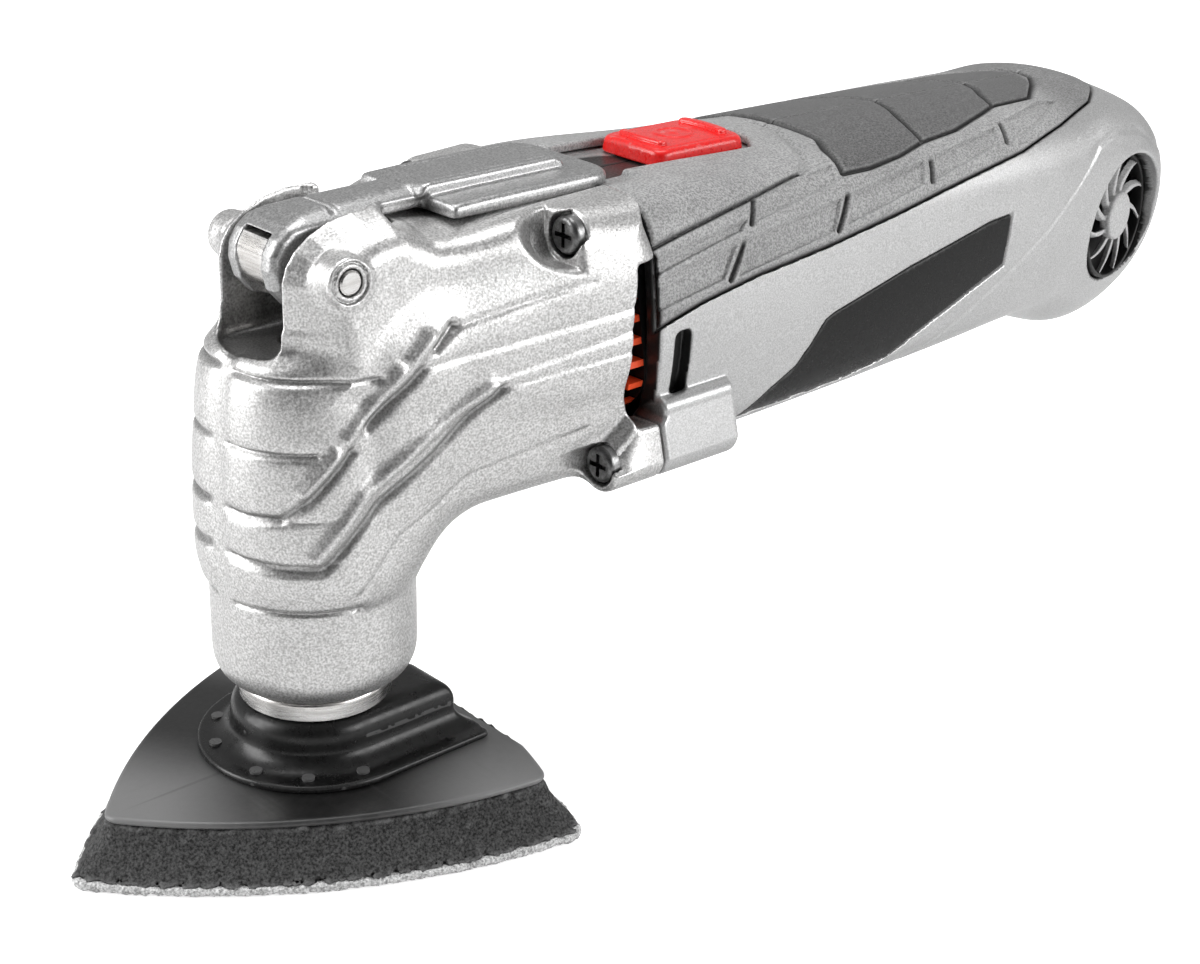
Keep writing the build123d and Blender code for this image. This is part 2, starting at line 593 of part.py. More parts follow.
def make_rotor():
    eccentric_z = MOTOR_Z + ECCENTRICITY
    core_low, core_high = CORE_X
    shaft = rod_x(SHAFT_FRONT_R, 40, 77) + rod_x(SHAFT_MIDDLE_R, 77, 143) + rod_x(SHAFT_REAR_R, 143, 153)
    shaft += rod_x(SHAFT_NOSE_R, 27.6, 40, 0, eccentric_z)
    core = rod_x(ARMATURE_R, *CORE_X) - rod_x(SHAFT_MIDDLE_R, 0, 200)
    slot = block((70, 120), (-1.3, 1.3), (7.2, ARMATURE_R - 1.2))
    slot += block((70, 120), (-0.6, 0.6), (9, ARMATURE_R + 1))
    for cut in round_motor(ARMATURE_SLOTS, slot):
        core -= cut
    front = rod_x(ARMATURE_R - 1, core_low - 5, core_low) - rod_x(SHAFT_MIDDLE_R + 0.2, 0, 200)
    front = fillet(front.edges().group_by(Axis.X)[0], 1.6)
    rear = rod_x(ARMATURE_R - 1, core_high, core_high + 6) - rod_x(SHAFT_MIDDLE_R + 0.2, 0, 200)
    rear = fillet(rear.edges().group_by(Axis.X)[-1], 1.6)
    commutator = rod_x(COMMUTATOR_R, *COMMUTATOR_X) - rod_x(SHAFT_MIDDLE_R, 0, 200)
    gap = block((120, 140), (-0.25, 0.25), (COMMUTATOR_R - 1.1, COMMUTATOR_R + 1))
    for cut in round_motor(COMMUTATOR_BARS, gap):
        commutator -= cut
    fan_low, fan_high = FAN_X
    fan = rod_x(FAN_R, fan_high - 1.8, fan_high) + rod_x(7.0, *FAN_X)
    blade = block((fan_low, fan_high - 1.5), (-0.8, 0.8), (6, FAN_R - 0.4))
    for vane in round_motor(FAN_BLADES, blade):
        fan += vane
    fan -= rod_x(SHAFT_FRONT_R, 0, 200)
    weight = rod_x(9.4, 36.6, 41) & block((30, 45), (-12, 12), (MOTOR_Z - 12, MOTOR_Z + 2.5))
    weight += rod_x(6.0, 36.6, 41)
    weight -= rod_x(SHAFT_NOSE_R, 0, 60, 0, eccentric_z)
    weight -= rod_x(SHAFT_FRONT_R, 40, 60)
    outer, inner, balls = ball_bearing(SHAFT_NOSE_R, 7.5, 5.0, 8)
    lift = Pos(0, 0, ECCENTRICITY)
    return {
        "motor_shaft": shaft,
        "armature_core": core,
        "armature_windings": group([front, rear]),
        "commutator": commutator,
        "cooling_fan": fan,
        "counterweight": weight,
        "eccentric_bearing_outer_ring": lift * on_motor_axis(FORK_X, outer),
        "eccentric_bearing_inner_ring": lift * on_motor_axis(FORK_X, inner),
        "eccentric_bearing_balls": group([lift * on_motor_axis(FORK_X, ball) for ball in balls]),
    }


def make_bearings():
    outer, inner, balls = ball_bearing(SPINDLE_R, SPINDLE_BEARING_R, SPINDLE_BEARING_WIDTH, 11)
    heights = (LOWER_BEARING_Z, UPPER_BEARING_Z)
    nodes = {
        "spindle_bearing_outer_rings": group([Pos(0, 0, z) * outer for z in heights]),
        "spindle_bearing_inner_rings": group([Pos(0, 0, z) * inner for z in heights]),
        "spindle_bearing_balls": group([Pos(0, 0, z) * ball for z in heights for ball in balls]),
    }
    front = ball_bearing(SHAFT_FRONT_R, FRONT_BEARING_R, 7.0, 7)
    rear = ball_bearing(SHAFT_REAR_R, REAR_BEARING_R, 6.0, 7)
    pair = ((FRONT_BEARING_X, front), (REAR_BEARING_X, rear))
    nodes["motor_bearing_outer_rings"] = group([on_motor_axis(x, b[0]) for x, b in pair])
    nodes["motor_bearing_inner_rings"] = group([on_motor_axis(x, b[1]) for x, b in pair])
    nodes["motor_bearing_balls"] = group([on_motor_axis(x, ball) for x, b in pair for ball in b[2]])
    return nodes


def make_motor_plate():
    """Bulkhead in the rear of the gear head that carries the front motor bearing."""
    inside = lofted([(28.0, 23.2, 85.4, 40.6, 56.0), (JOINT_X + 0.01, 28.0, 88.2, 41.6, 54.0)])
    plate = inside & slab(50.2, 53.2)
    plate += rod_x(FRONT_BEARING_R + 3.0, 45.0, 53.2)
    plate -= rod_x(FRONT_BEARING_R, 40, 52)
    plate -= rod_x(SHAFT_FRONT_R + 2.0, 40, 60)
    for side in (-1, 1):
        for y, z in (UPPER_SCREW, LOWER_SCREW):
            plate -= rod_x(5.0, 40, 60, side * y, z)
    return plate - block((40, 60), (-19, 19), (86.5, FAR))


def make_stator():
    low, high = CORE_X
    ring = rod_x(STATOR_R, low, high) - rod_x(ARMATURE_R + 3.2, 0, 200)
    pole_ring = rod_x(ARMATURE_R + 3.3, low, high) - rod_x(ARMATURE_R + 0.5, 0, 200)
    pole_zone = block(CORE_X, (-9, 9), (MOTOR_Z - 30, MOTOR_Z + 30))
    coils = []
    for start, end in ((low - 4.5, low - 0.1), (high + 0.1, high + 5.0)):
        loop = rod_x(STATOR_R - 2.0, start, end) - rod_x(ARMATURE_R + 1.4, 0, 200)
        coils.append(loop - block((60, 130), (-40, 40), (MOTOR_Z - 3, MOTOR_Z + 3)))
    return {"stator_core": ring + (pole_ring & pole_zone), "field_coils": group(coils)}


BRUSH_X = (128.05, 132.95)
BRUSH_HALF = 2.95
BRUSH_OUT = 18.4             # outer end of a brush, where its spring starts
HOLDER_X = (126.5, 134.5)
HOLDER_HALF = 4.5
HOLDER_OUT = 24.0
BRUSH_SPRING_R = 1.7
BRUSH_WIRE_R = 0.25


def span(side, low, high):
    """Range of y on one side of the tool."""
    return sorted((side * low, side * high))


def about_motor(half):
    """Range of z centred on the motor axis."""
    return (MOTOR_Z - half, MOTOR_Z + half)


def make_brush_gear():
    holders = []
    brushes = []
    springs = []
    coil = Helix(pitch=1.2, height=4.3, radius=BRUSH_SPRING_R)
    wire = sweep(Plane(origin=coil @ 0, z_dir=coil % 0) * Circle(BRUSH_WIRE_R), coil, is_frenet=True)
    for side in (-1, 1):
        tube = block(HOLDER_X, span(side, COMMUTATOR_R + 1.1, HOLDER_OUT), about_motor(HOLDER_HALF))
        tube -= block((128.0, 133.0), span(side, 11, HOLDER_OUT - 0.6), about_motor(BRUSH_HALF + RUNNING))
        holders.append(tube)
        brush_y = span(side, COMMUTATOR_R + RUNNING, BRUSH_OUT)
        brushes.append(block(BRUSH_X, brush_y, about_motor(BRUSH_HALF)))
        seat = Pos(sum(BRUSH_X) / 2, side * (BRUSH_OUT + 0.3), MOTOR_Z)
        springs.append(seat * Rot(-90 * side, 0, 0) * wire)
    inside = lofted(BODY_SECTIONS, GRIP_THICKNESS + WALL + RUNNING, front=1, rear=-3)
    bridge = (inside & slab(HOLDER_X[1] + 0.1, 137.0)) - rod_x(COMMUTATOR_R + 0.9, 0, 200)
    for height in ((MOTOR_Z + 7, MOTOR_Z + 14), (MOTOR_Z - 14, MOTOR_Z - 7)):
        bridge -= both_sides(block((130, 140), (13.5, 22), height))
    bridge -= block((130, 140), (-LINK_HALF, LINK_HALF), (83.6, 90))
    return {
        "brush_holders": group(holders),
        "carbon_brushes": group(brushes),
        "brush_springs": group(springs),
        "brush_bridge": bridge,
    }


# ---------------------------------------------------------------- switch, cord and wiring
CAP_X = (77.5, 101.5)
CAP_HALF = 8.8
CAP_Z = (88.8, 92.2)
LINK_Z = (83.7, 85.2)
CORD_R = 3.5
SLEEVE_R = 6.0
CLAMP_X = (212.0, 220.0)
CLAMP_SCREW_Y = 7.0


def make_switch():
    cap = block(CAP_X, (-CAP_HALF, CAP_HALF), CAP_Z)
    cap = fillet(cap.edges().filter_by(Axis.Z), 2.0)
    for x in (82.0, 97.0):
        cap += block((x - 0.9, x + 0.9), (-5.6, 5.6), (CAP_Z[1] - 0.2, CAP_Z[1] + 0.8))
    link = block((84.0, 92.0), (-4, 4), (LINK_Z[1] - 1, CAP_Z[0]))
    link += block((84.0, 166.0), (-4, 4), LINK_Z)
    link += block((163.0, 166.0), (-4, 4), (82.4, 84.0))
    body = block((160.5, 184), (-7.5, 7.5), (62.5, 81.8))
    for x, z in SCREW_PLACES[1:3]:
        body -= rod_y(CLOSING_BOSS_R + 0.1, -FAR, FAR, x, z)
    return {"switch_cap": cap, "switch_link": link, "power_switch": body}


def make_cord():
    bore = rod_x(CORD_R, 200, 270, 0, CORD_Z)
    cord = rod_x(CORD_R, 206, TAIL_X + 16, 0, CORD_Z)
    cord = fillet(cord.edges().sort_by(Axis.X)[-1], 0.5)
    sleeve = rod_x(SLEEVE_R, 230, 239.5, 0, CORD_Z) + rod_x(SLEEVE_R + 2.2, 229.6, 233.0, 0, CORD_Z)
    cone = Pos(245.5, 0, CORD_Z) * Rot(0, 90, 0) * Cone(SLEEVE_R - 0.4, SLEEVE_R - 1.4, 12)
    clamp = block(CLAMP_X, (-10, 10), (CORD_Z - 1.5, CORD_Z + 6)) - bore
    screws = []
    for side in (-1, 1):
        x = sum(CLAMP_X) / 2
        y = side * CLAMP_SCREW_Y
        clamp -= rod_z(1.5, 50, 70, x, y)
        screws.append(Pos(x, y, CORD_Z + 6) * pan_screw(2.6, 1.8, 1.5, 12))
    capacitor = block((193.5, 207), (-7, 7), (66.5, 80))
    capacitor = fillet(capacitor.edges(), 1.2)
    wires = []
    for side in (-1, 1):
        points = [(139, 16, 53), (155, 18, 54), (170, 12, 57.5), (176, 6, 61.2)]
        path = Spline([(x, side * y, z) for x, y, z in points])
        wires.append(sweep(Plane(origin=path @ 0, z_dir=path % 0) * Circle(0.9), path))
    return {
        "power_cord": cord,
        "cord_sleeve": sleeve + cone - bore,
        "cord_clamp": clamp,
        "cord_clamp_screws": group(screws),
        "suppression_capacitor": capacitor,
        "lead_wires": group(wires),
    }


# ---------------------------------------------------------------- everything together
def make_nodes():
    nodes = make_pad()
    pins = nodes["drive_pins"]
    nodes.update(make_spindle(pins))
    nodes.update(make_clamp())
    nodes.update(make_lever())
    nodes.update(make_head())
    nodes["head_screws"] = make_head_screws()
    nodes.update(make_housing())
    nodes["housing_screws"] = make_housing_screws()
    nodes.update(make_intakes())
    nodes["vent_baffle"] = make_baffle()
    nodes.update(make_rotor())
    nodes.update(make_bearings())
    nodes["motor_bearing_plate"] = make_motor_plate()
    nodes.update(make_stator())
    nodes.update(make_brush_gear())
    nodes.update(make_switch())
    nodes.update(make_cord())
    return nodes


os.makedirs("parts", exist_ok=True)
for node, shape in make_nodes().items():
    lifted = Pos(0, 0, PAD_HEIGHT) * shape
    export_step(group([lifted]), "parts/" + node + ".step")
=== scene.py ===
import math

import bpy
import numpy as np
from mathutils import Matrix, Vector


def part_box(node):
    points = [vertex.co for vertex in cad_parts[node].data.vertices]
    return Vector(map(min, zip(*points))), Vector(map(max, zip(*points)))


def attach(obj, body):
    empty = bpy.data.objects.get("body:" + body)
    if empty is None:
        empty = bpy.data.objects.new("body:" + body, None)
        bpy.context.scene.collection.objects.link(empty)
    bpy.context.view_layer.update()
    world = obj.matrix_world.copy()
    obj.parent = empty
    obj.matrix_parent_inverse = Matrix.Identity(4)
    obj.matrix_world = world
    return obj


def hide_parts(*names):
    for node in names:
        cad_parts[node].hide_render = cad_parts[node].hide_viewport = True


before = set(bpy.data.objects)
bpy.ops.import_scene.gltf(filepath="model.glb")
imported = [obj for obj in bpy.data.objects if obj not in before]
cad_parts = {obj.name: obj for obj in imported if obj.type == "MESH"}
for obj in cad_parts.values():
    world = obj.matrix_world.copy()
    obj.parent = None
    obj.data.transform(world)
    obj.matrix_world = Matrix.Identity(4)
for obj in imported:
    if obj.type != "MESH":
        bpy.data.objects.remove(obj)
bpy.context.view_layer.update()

# The shapes are worked out in millimetres, with z = 0 at the clamp face, the spindle axis at x = y = 0 and
# the handle towards +X. CLAMP_FACE lifts them into the frame, whose z = 0 is the sanding face.
CLAMP_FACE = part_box("pad_hub")[1].z * 1000


# ---------------------------------------------------------------- distance fields
def smax(a, b, k):
    """Larger of two fields, with their meeting edge rounded over about k."""
    h = np.maximum(k - np.abs(a - b), 0.0) / k
    return np.maximum(a, b) + h * h * (k * 0.25)


def smin(a, b, k):
    """Smaller of two fields, with their meeting edge filled in over about k."""
    return -smax(-a, -b, k)


def curve(u, points):
    """Smooth curve through (u, value) points, level beyond both ends."""
    at = np.array([p[0] for p in points], float)
    value = np.array([p[1] for p in points], float)
    slope = np.gradient(value, at)
    slope[0] = slope[-1] = 0.0
    u = np.clip(u, at[0], at[-1])
    n = np.clip(np.searchsorted(at, u, side="right") - 1, 0, len(at) - 2)
    span = at[n + 1] - at[n]
    t = (u - at[n]) / span
    t2 = t * t
    t3 = t2 * t
    return ((2 * t3 - 3 * t2 + 1) * value[n] + (t3 - 2 * t2 + t) * span * slope[n]
            + (3 * t2 - 2 * t3) * value[n + 1] + (t3 - t2) * span * slope[n + 1])


def segment(u, v, a, b):
    """Distance from (u, v) to the line from a to b."""
    du, dv = b[0] - a[0], b[1] - a[1]
    t = np.clip(((u - a[0]) * du + (v - a[1]) * dv) / (du * du + dv * dv), 0.0, 1.0)
    return np.hypot(u - a[0] - t * du, v - a[1] - t * dv)


def path(u, v, points):
    """Distance from (u, v) to a line through the points."""
    best = segment(u, v, points[0], points[1])
    for a, b in zip(points[1:], points[2:]):
        best = np.minimum(best, segment(u, v, a, b))
    return best


def polygon(u, v, points):
    """Signed distance to a closed outline, negative inside."""
    edge = path(u, v, list(points) + [points[0]])
    inside = np.zeros(np.broadcast(u, v).shape, bool)
    for (u0, v0), (u1, v1) in zip(points, list(points[1:]) + [points[0]]):
        if v0 == v1:
            continue
        cross = u0 + (v - v0) * (u1 - u0) / (v1 - v0)
        inside ^= ((v0 > v) != (v1 > v)) & (u < cross)
    return np.where(inside, -edge, edge)


def ease(t):
    """Goes smoothly from 0 to 1 as t goes from 0 to 1."""
    t = np.clip(t, 0.0, 1.0)
    return t * t * (3 - 2 * t)


def ridge(distance, width):
    """1 on a line and 0 away from it."""
    return np.exp(-(distance / width) ** 2)


def extruded(flat, across, half, k):
    """An outline's field given thickness: |across| stays under half."""
    return smax(flat, np.abs(across) - half, k)


def detailed(base, reach, detail, x, y, z):
    """Adds detail(x, y, z) to a field, only where its surface is near."""
    shape = np.broadcast(x, y, z).shape
    out = np.array(np.broadcast_to(base, shape), float)
    near = np.abs(out) < reach
    points = [np.broadcast_to(c, shape)[near] for c in (x, y, z)]
    out[near] += detail(*points)
    return out


# ---------------------------------------------------------------- surface from a field
CORNERS = [(i, j, k) for i in (0, 1) for j in (0, 1) for k in (0, 1)]
EDGES = [(a, b) for a in CORNERS for b in CORNERS if a < b and sum(p != q for p, q in zip(a, b)) == 1]


def gradient(field, p, d=0.05):
    """Slope of the field at points p, an (n, 3) array."""
    out = np.empty_like(p)
    for axis in range(3):
        high = p.copy()
        low = p.copy()
        high[:, axis] += d
        low[:, axis] -= d
        out[:, axis] = (field(*high.T) - field(*low.T)) / (2 * d)
    return out


def settle(field, p, rounds=2, reach=0.3):
    """Moves points onto the surface along the slope."""
    for _ in range(rounds):
        slope = gradient(field, p)
        size = np.maximum((slope ** 2).sum(1), 0.05)
        step = np.clip(field(*p.T) / size, -reach, reach)
        p = p - slope * step[:, None]
    return p


def net(field, low, high, step):
    """Quads round the zero surface of field inside a box."""
    axes = [np.arange(a, b + step, step) for a, b in zip(low, high)]
    x = axes[0][:, None, None]
    y = axes[1][None, :, None]
    z = axes[2][None, None, :]
    shape = tuple(len(a) for a in axes)
    value = np.ascontiguousarray(np.broadcast_to(field(x, y, z), shape).astype(np.float32))
    inside = value < 0
    count = np.zeros(tuple(n - 1 for n in shape), np.uint8)
    for i, j, k in CORNERS:
        count += inside[i:shape[0] - 1 + i, j:shape[1] - 1 + j, k:shape[2] - 1 + k]
    cell = np.argwhere((count > 0) & (count < 8))
    number = np.full(count.shape, -1, np.int64)
    number[tuple(cell.T)] = np.arange(len(cell))
    total = np.zeros((len(cell), 3))
    crossings = np.zeros(len(cell))
    for a, b in EDGES:
        va = value[tuple((cell + a).T)]
        vb = value[tuple((cell + b).T)]
        cut = (va < 0) != (vb < 0)
        t = np.where(cut, va / np.where(cut, va - vb, 1.0), 0.0)[:, None]
        total += np.where(cut[:, None], np.array(a) + t * (np.array(b) - np.array(a)), 0.0)
        crossings += cut
    place = (cell + total / crossings[:, None]) * step + np.array(low, float)
    faces = []
    for axis in range(3):
        u, v = [n for n in range(3) if n != axis]
        lower = [slice(1, -1)] * 3
        upper = [slice(1, -1)] * 3
        lower[axis] = slice(0, -1)
        upper[axis] = slice(1, None)
        first = inside[tuple(lower)]
        second = inside[tuple(upper)]
        start = np.argwhere(first != second)
        flip = ~first[tuple(start.T)]
        if axis == 1:
            flip = ~flip
        base = start.copy()
        base[:, u] += 1
        base[:, v] += 1
        ring = []
        for du, dv in ((0, 0), (1, 0), (1, 1), (0, 1)):
            at = base.copy()
            at[:, u] -= 1 - du
            at[:, v] -= 1 - dv
            ring.append(number[tuple(at.T)])
        quad = np.stack(ring, 1)
        quad[flip] = quad[flip][:, ::-1]
        faces.append(quad)
    faces = np.concatenate(faces)
    return place, faces[(faces >= 0).all(1)]


# ---------------------------------------------------------------- Blender pieces
def new_mesh(name, points, faces):
    """Mesh from (n, 3) points in metres and an (m, k) array of corner numbers."""
    mesh = bpy.data.meshes.new(name)
    mesh.vertices.add(len(points))
    mesh.vertices.foreach_set("co", points.astype(np.float32).ravel())
    mesh.loops.add(faces.size)
    mesh.loops.foreach_set("vertex_index", faces.astype(np.int32).ravel())
    mesh.polygons.add(len(faces))
    mesh.polygons.foreach_set("loop_start", np.arange(0, faces.size, faces.shape[1], dtype=np.int32))
    mesh.update(calc_edges=True)
    return mesh


def thinned(mesh, share):
    """The mesh with about that share of its faces, fewest where it is flat."""
    holder = bpy.data.objects.new("thinning", mesh)
    bpy.context.scene.collection.objects.link(holder)
    modifier = holder.modifiers.new("thin", "DECIMATE")
    modifier.ratio = share
    modifier.use_collapse_triangulate = True
    view = bpy.context.evaluated_depsgraph_get()
    result = bpy.data.meshes.new_from_object(holder.evaluated_get(view))
    bpy.data.objects.remove(holder)
    return result


def mesh_arrays(mesh):
    """A mesh's points and its faces' corner numbers."""
    points = np.empty(len(mesh.vertices) * 3, np.float32)
    mesh.vertices.foreach_get("co", points)
    corners = np.empty(len(mesh.loops), np.int32)
    mesh.loops.foreach_get("vertex_index", corners)
    return points.reshape(-1, 3).astype(float), corners.reshape(len(mesh.polygons), -1)


class Shape:
    """Points, faces, normals and shading values of one sculpted surface, in clamp-face millimetres."""

    def __init__(self, field, low, high, step, share, shades):
        step = step
        points, faces = net(field, low, high, step)
        points = settle(field, points)
        if share < 1:
            mesh = thinned(new_mesh("raw", points, faces), share)
            points, faces = mesh_arrays(mesh)
            bpy.data.meshes.remove(mesh)
            points = settle(field, points)
        slope = gradient(field, points, 0.08)
        self.points = points
        self.faces = faces
        self.normals = slope / np.maximum(np.linalg.norm(slope, axis=1), 1e-6)[:, None]
        self.shades = {name: rule(*points.T) for name, rule in shades.items()}

    def mirrored(self):
        """The same surface on the other side of y = 0."""
        other = object.__new__(Shape)
        flip = np.array((1.0, -1.0, 1.0))
        other.points = self.points * flip
        other.normals = self.normals * flip
        other.faces = self.faces[:, ::-1]
        other.shades = self.shades
        return other


def show(name, shape, body, look, stands_for):
    """Makes a piece from a Shape and lets it ride on a CAD body in place of a CAD node."""
    lift = np.array((0.0, 0.0, CLAMP_FACE))
    mesh = new_mesh(name, (shape.points + lift) / 1000, shape.faces)
    mesh.polygons.foreach_set("use_smooth", np.ones(len(mesh.polygons), bool))
    mesh.normals_split_custom_set_from_vertices(shape.normals.astype(np.float32))
    for shade, values in shape.shades.items():
        layer = mesh.attributes.new(shade, "FLOAT", "POINT")
        layer.data.foreach_set("value", np.asarray(values, np.float32))
    mesh.materials.append(LOOKS[look])
    piece = bpy.data.objects.new(name, mesh)
    bpy.context.scene.collection.objects.link(piece)
    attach(piece, body)
    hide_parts(stands_for)
    return piece


# ---------------------------------------------------------------- handle
JOINT_X = 57.0               # rear plane of the gear head
HOUSING_X = 57.6
WIDTH = [(57, 32.2), (100, 32.0), (150, 31.3), (180, 30.4), (197, 29.2), (211, 28.0), (226, 25.8),
         (240, 20.6)]
TOP = [(0, 88.2), (57, 91.3), (100, 90.7), (150, 89.8), (190, 89.0), (215, 88.0)]
BOTTOM = [(57, 37.0), (100, 37.4), (150, 38.6), (178, 39.4), (195, 38.6)]
WIDEST = [(57, 53.0), (150, 55.5), (200, 58.0)]
CROWN = [(60, 0.0025), (110, 0.0078)]    # drop of the top across the handle, per square millimetre
POMMEL = (208.6, 58.2)
POMMEL_R = 28.8
INTAKE = (211.5, 25.0, 58.3)
INTAKE_R = 14.9
INTAKE_TILT = math.radians(10.9)
LOWER_BOSS = (29.0, 42.4)    # y and z of the lower head screws
UPPER_BOSS = (23.0, 86.0)
LOWER_FACE_X = 44.5          # faces that the head screws sink into
UPPER_FACE_X = 40.5
BOSS_R = 5.3
CORD_Z = 58.0
CORD_HOLE_R = 6.0
SHELL_WALL = 4.4
SHELL_GAP = 0.06             # from the middle plane to each shell's edge, and to each grip's
GRIP_GAP = 0.05
PANEL_SINK = 0.95            # depth of the recess for the side panel
TAIL_SWELL = 0.7             # how far the tail stands proud of the sides
INTAKE_DEPTH = 7.5


def side_planes(y, z, width, widest, k=9.0):
    """Two sides that lean in above and below the height where they are widest."""
    out = np.abs(y) - width
    upper = out - (widest - z) * 0.115
    lower = out * 0.93 - (z - widest) * 0.37
    return smax(upper, lower, k)


def handle_profile(x, y, z):
    """The handle seen from the side: its run and the round end."""
    crown = curve(x, CROWN) * y ** 2
    run = smax(z - curve(x, TOP) + crown, curve(x, BOTTOM) - z, 1.0)
    run = smax(run, x - 210.0, 8.0)
    pommel = np.hypot(x - POMMEL[0], z - POMMEL[1]) - POMMEL_R + crown
    return smin(run, pommel, 7.0)


def handle(x, y, z):
    """Outside of the whole handle, without its grips and recesses."""
    sides = side_planes(y, z, curve(x, WIDTH), curve(x, WIDEST))
    return smax(sides, handle_profile(x, y, z), 9.0)


def wrap(x, y, z):
    """Distance round the handle from the middle of its top."""
    return np.abs(y) + curve(x, TOP) - z


def intake_axes(x, y, z):
    """Distance from an intake's axis, height above its face, and the two directions across it."""
    dx, dy, dz = x - INTAKE[0], np.abs(y) - INTAKE[1], z - INTAKE[2]
    height = dx * math.sin(INTAKE_TILT) + dy * math.cos(INTAKE_TILT)
    across = dx * math.cos(INTAKE_TILT) - dy * math.sin(INTAKE_TILT)
    return np.hypot(across, dz), height, across, dz


# ---------------------------------------------------------------- grip layout, as (x, wrap) lines
GRIP_EDGE = [(50, 56.5), (59.5, 54.5), (69.5, 52), (86, 49), (106, 46.5), (127, 43), (146.5, 39),
             (169, 34.5), (186, 28.5), (200.5, 22), (207.5, 15.5), (211.5, 8), (213, 0)]
GRIP_ZONE = GRIP_EDGE + [(213, -5), (50, -5)]
SHOULDER_EDGE = [(50.5, 40), (58.5, 38), (72, 35), (83.5, 32), (96.5, 28), (103.5, 26)]
SHOULDER_NOSE = [(103.5, 26), (108, 21.5), (110.5, 15), (112.5, 9.5), (114, 4.5), (114.5, -1)]
SHOULDER_BAND = [(103.5, 26), (108, 21.5), (110.5, 15), (112.5, 9.5), (114.5, -2), (117, -2), (117.5, 8),
                 (117, 14), (115.5, 19), (113.5, 24.5)]
PAD_LINES = [
    [(117.5, -1), (118, 8), (118, 14), (116, 19), (113.5, 29.5)],
    [(113.5, 29.5), (122, 29.5), (132.5, 27.5), (141.5, 24.5)],
    [(150, -1), (147.5, 6.5), (145, 12), (143, 18.5), (141.5, 24.5)],
    [(141.5, 24.5), (154, 22.5), (168, 17.5), (173, 15.5)],
    [(180, -1), (178, 5), (175.5, 9), (173, 15.5)],
    [(173, 15.5), (186.5, 15), (194.5, 8.5), (198, 4.5), (199, -1)],
]
PAD_ZONE = [(117.5, -3), (118, 14), (116, 19), (113.5, 29.5), (122, 29.5), (141.5, 24.5), (154, 22.5),
            (173, 15.5), (186.5, 15), (194.5, 8.5), (199, -3)]
SHORT_MARKS = [
    [(86, 32), (83.5, 38)],
    [(81, 42), (77, 49)],
    [(112, 36), (107.5, 44)],
    [(139.5, 31.5), (137.5, 37.5)],
    [(167.5, 24), (165, 31)],
]
PANELS = [
    [(50, 42.5), (58, 41), (82, 37), (80.5, 39), (58, 44), (50, 45)],
    [(87.5, 31.5), (102.5, 27.5), (112, 26), (110.5, 31.5), (97.5, 34.5), (85, 37.5)],
    [(50, 47), (58, 45), (78.5, 42), (75, 48.5), (58, 51.5), (50, 52.5)],
    [(82, 41.5), (96.5, 39), (109.5, 36.5), (106, 44), (94, 46), (79.5, 48.5)],
    [(114, 35.5), (137, 31), (134.5, 37.5), (122.5, 40.5), (110.5, 43)],
    [(141.5, 30), (164.5, 25), (162.5, 30.5), (150, 34), (139, 37)],
    [(169.5, 23), (186, 18), (191.5, 19), (176, 28), (167, 30)],
]
GROOVE_DEPTH = 1.1
GROOVE_WIDTH = 0.62
PANEL_DEPTH = 0.75
GRIP_LAYER = 1.8


def grip_marks(x, v):
    """Depth cut into the grip, and the painted shade of its grooves."""
    line = path(x, v, PAD_LINES[0])
    for points in PAD_LINES[1:] + SHORT_MARKS:
        line = np.minimum(line, path(x, v, points))
    line = np.minimum(line, path(x, v, SHOULDER_EDGE) + 0.1)
    groove_and_painted_shade = ridge(line, GROOVE_WIDTH)
    panel = np.zeros_like(line)
    for points in PANELS:
        panel = np.maximum(panel, ease(0.5 - polygon(x, v, points) / 0.9))
    nose = path(x, v, SHOULDER_NOSE)
    band = ease(0.5 - polygon(x, v, SHOULDER_BAND) / 1.6)
    depth = GROOVE_DEPTH * groove_and_painted_shade + PANEL_DEPTH * panel + 0.9 * ridge(nose, 1.3) + 0.55 * band
    return depth, groove_and_painted_shade, panel


def switch_bay(x, y, z):
    """Room for the switch cap, open at the front for its travel."""
    flat = polygon(x, np.abs(y), [(60, -1), (104.4, -1), (104.4, 6.0), (101.0, 10.4), (60, 10.4)])
    return smax(flat, 88.6 - z, 0.8)


def lever_flat(x, y, z):
    """Flat on top of the housing that the lever's wings lie over."""
    return smax(smax(x - 66.0, np.abs(y) - 15.6, 5.0), 90.1 - z, 0.8)


def lower_boss(x, y, z, low, high):
    """Round boss of a lower head screw, drawn up into the side of the body."""
    across, rise = np.abs(y) - LOWER_BOSS[0], z - LOWER_BOSS[1]
    length = 1.0 + 7.0 * ease((x - 45.0) / 10.0)
    t = np.clip((across * 0.15 + rise) / length, 0.0, 1.0)
    tube = np.hypot(across - 0.15 * length * t, rise - length * t) - BOSS_R + 3.2 * t
    return smax(smax(tube, x - high, 1.2), low - x, 1.2)


def grip_depth(x, y, z):
    """Distance from the edge of the grips, negative inside them."""
    v = wrap(x, y, z)
    return polygon(x, v, GRIP_ZONE)


PANEL_EDGE = [(163.5, 69), (162.5, 57.5), (145, 51), (136, 47.5), (128, 43.5), (115.5, 41.5), (100, 41),
              (84, 41), (91, 46), (97.5, 49.5), (101, 53.5), (104.5, 58), (107, 59), (129.5, 64),
              (155.5, 68.5)]
TAIL_ZONE = [(222, 72), (214, 77), (205, 78.5), (197, 77), (189, 70), (178, 61.5), (166, 54.5), (152, 47),
             (138, 40), (138, 20), (260, 20), (260, 60)]
SLOT_X = 64.3
SLOT_Z = 57.8
SLOT_HALF = (2.2, 7.0)
SLOT_DEPTH = 2.8
SLOT_LEAN = 0.06
OUTLET_Z = (48.0, 81.0)
OUTLET_Y = 22.0


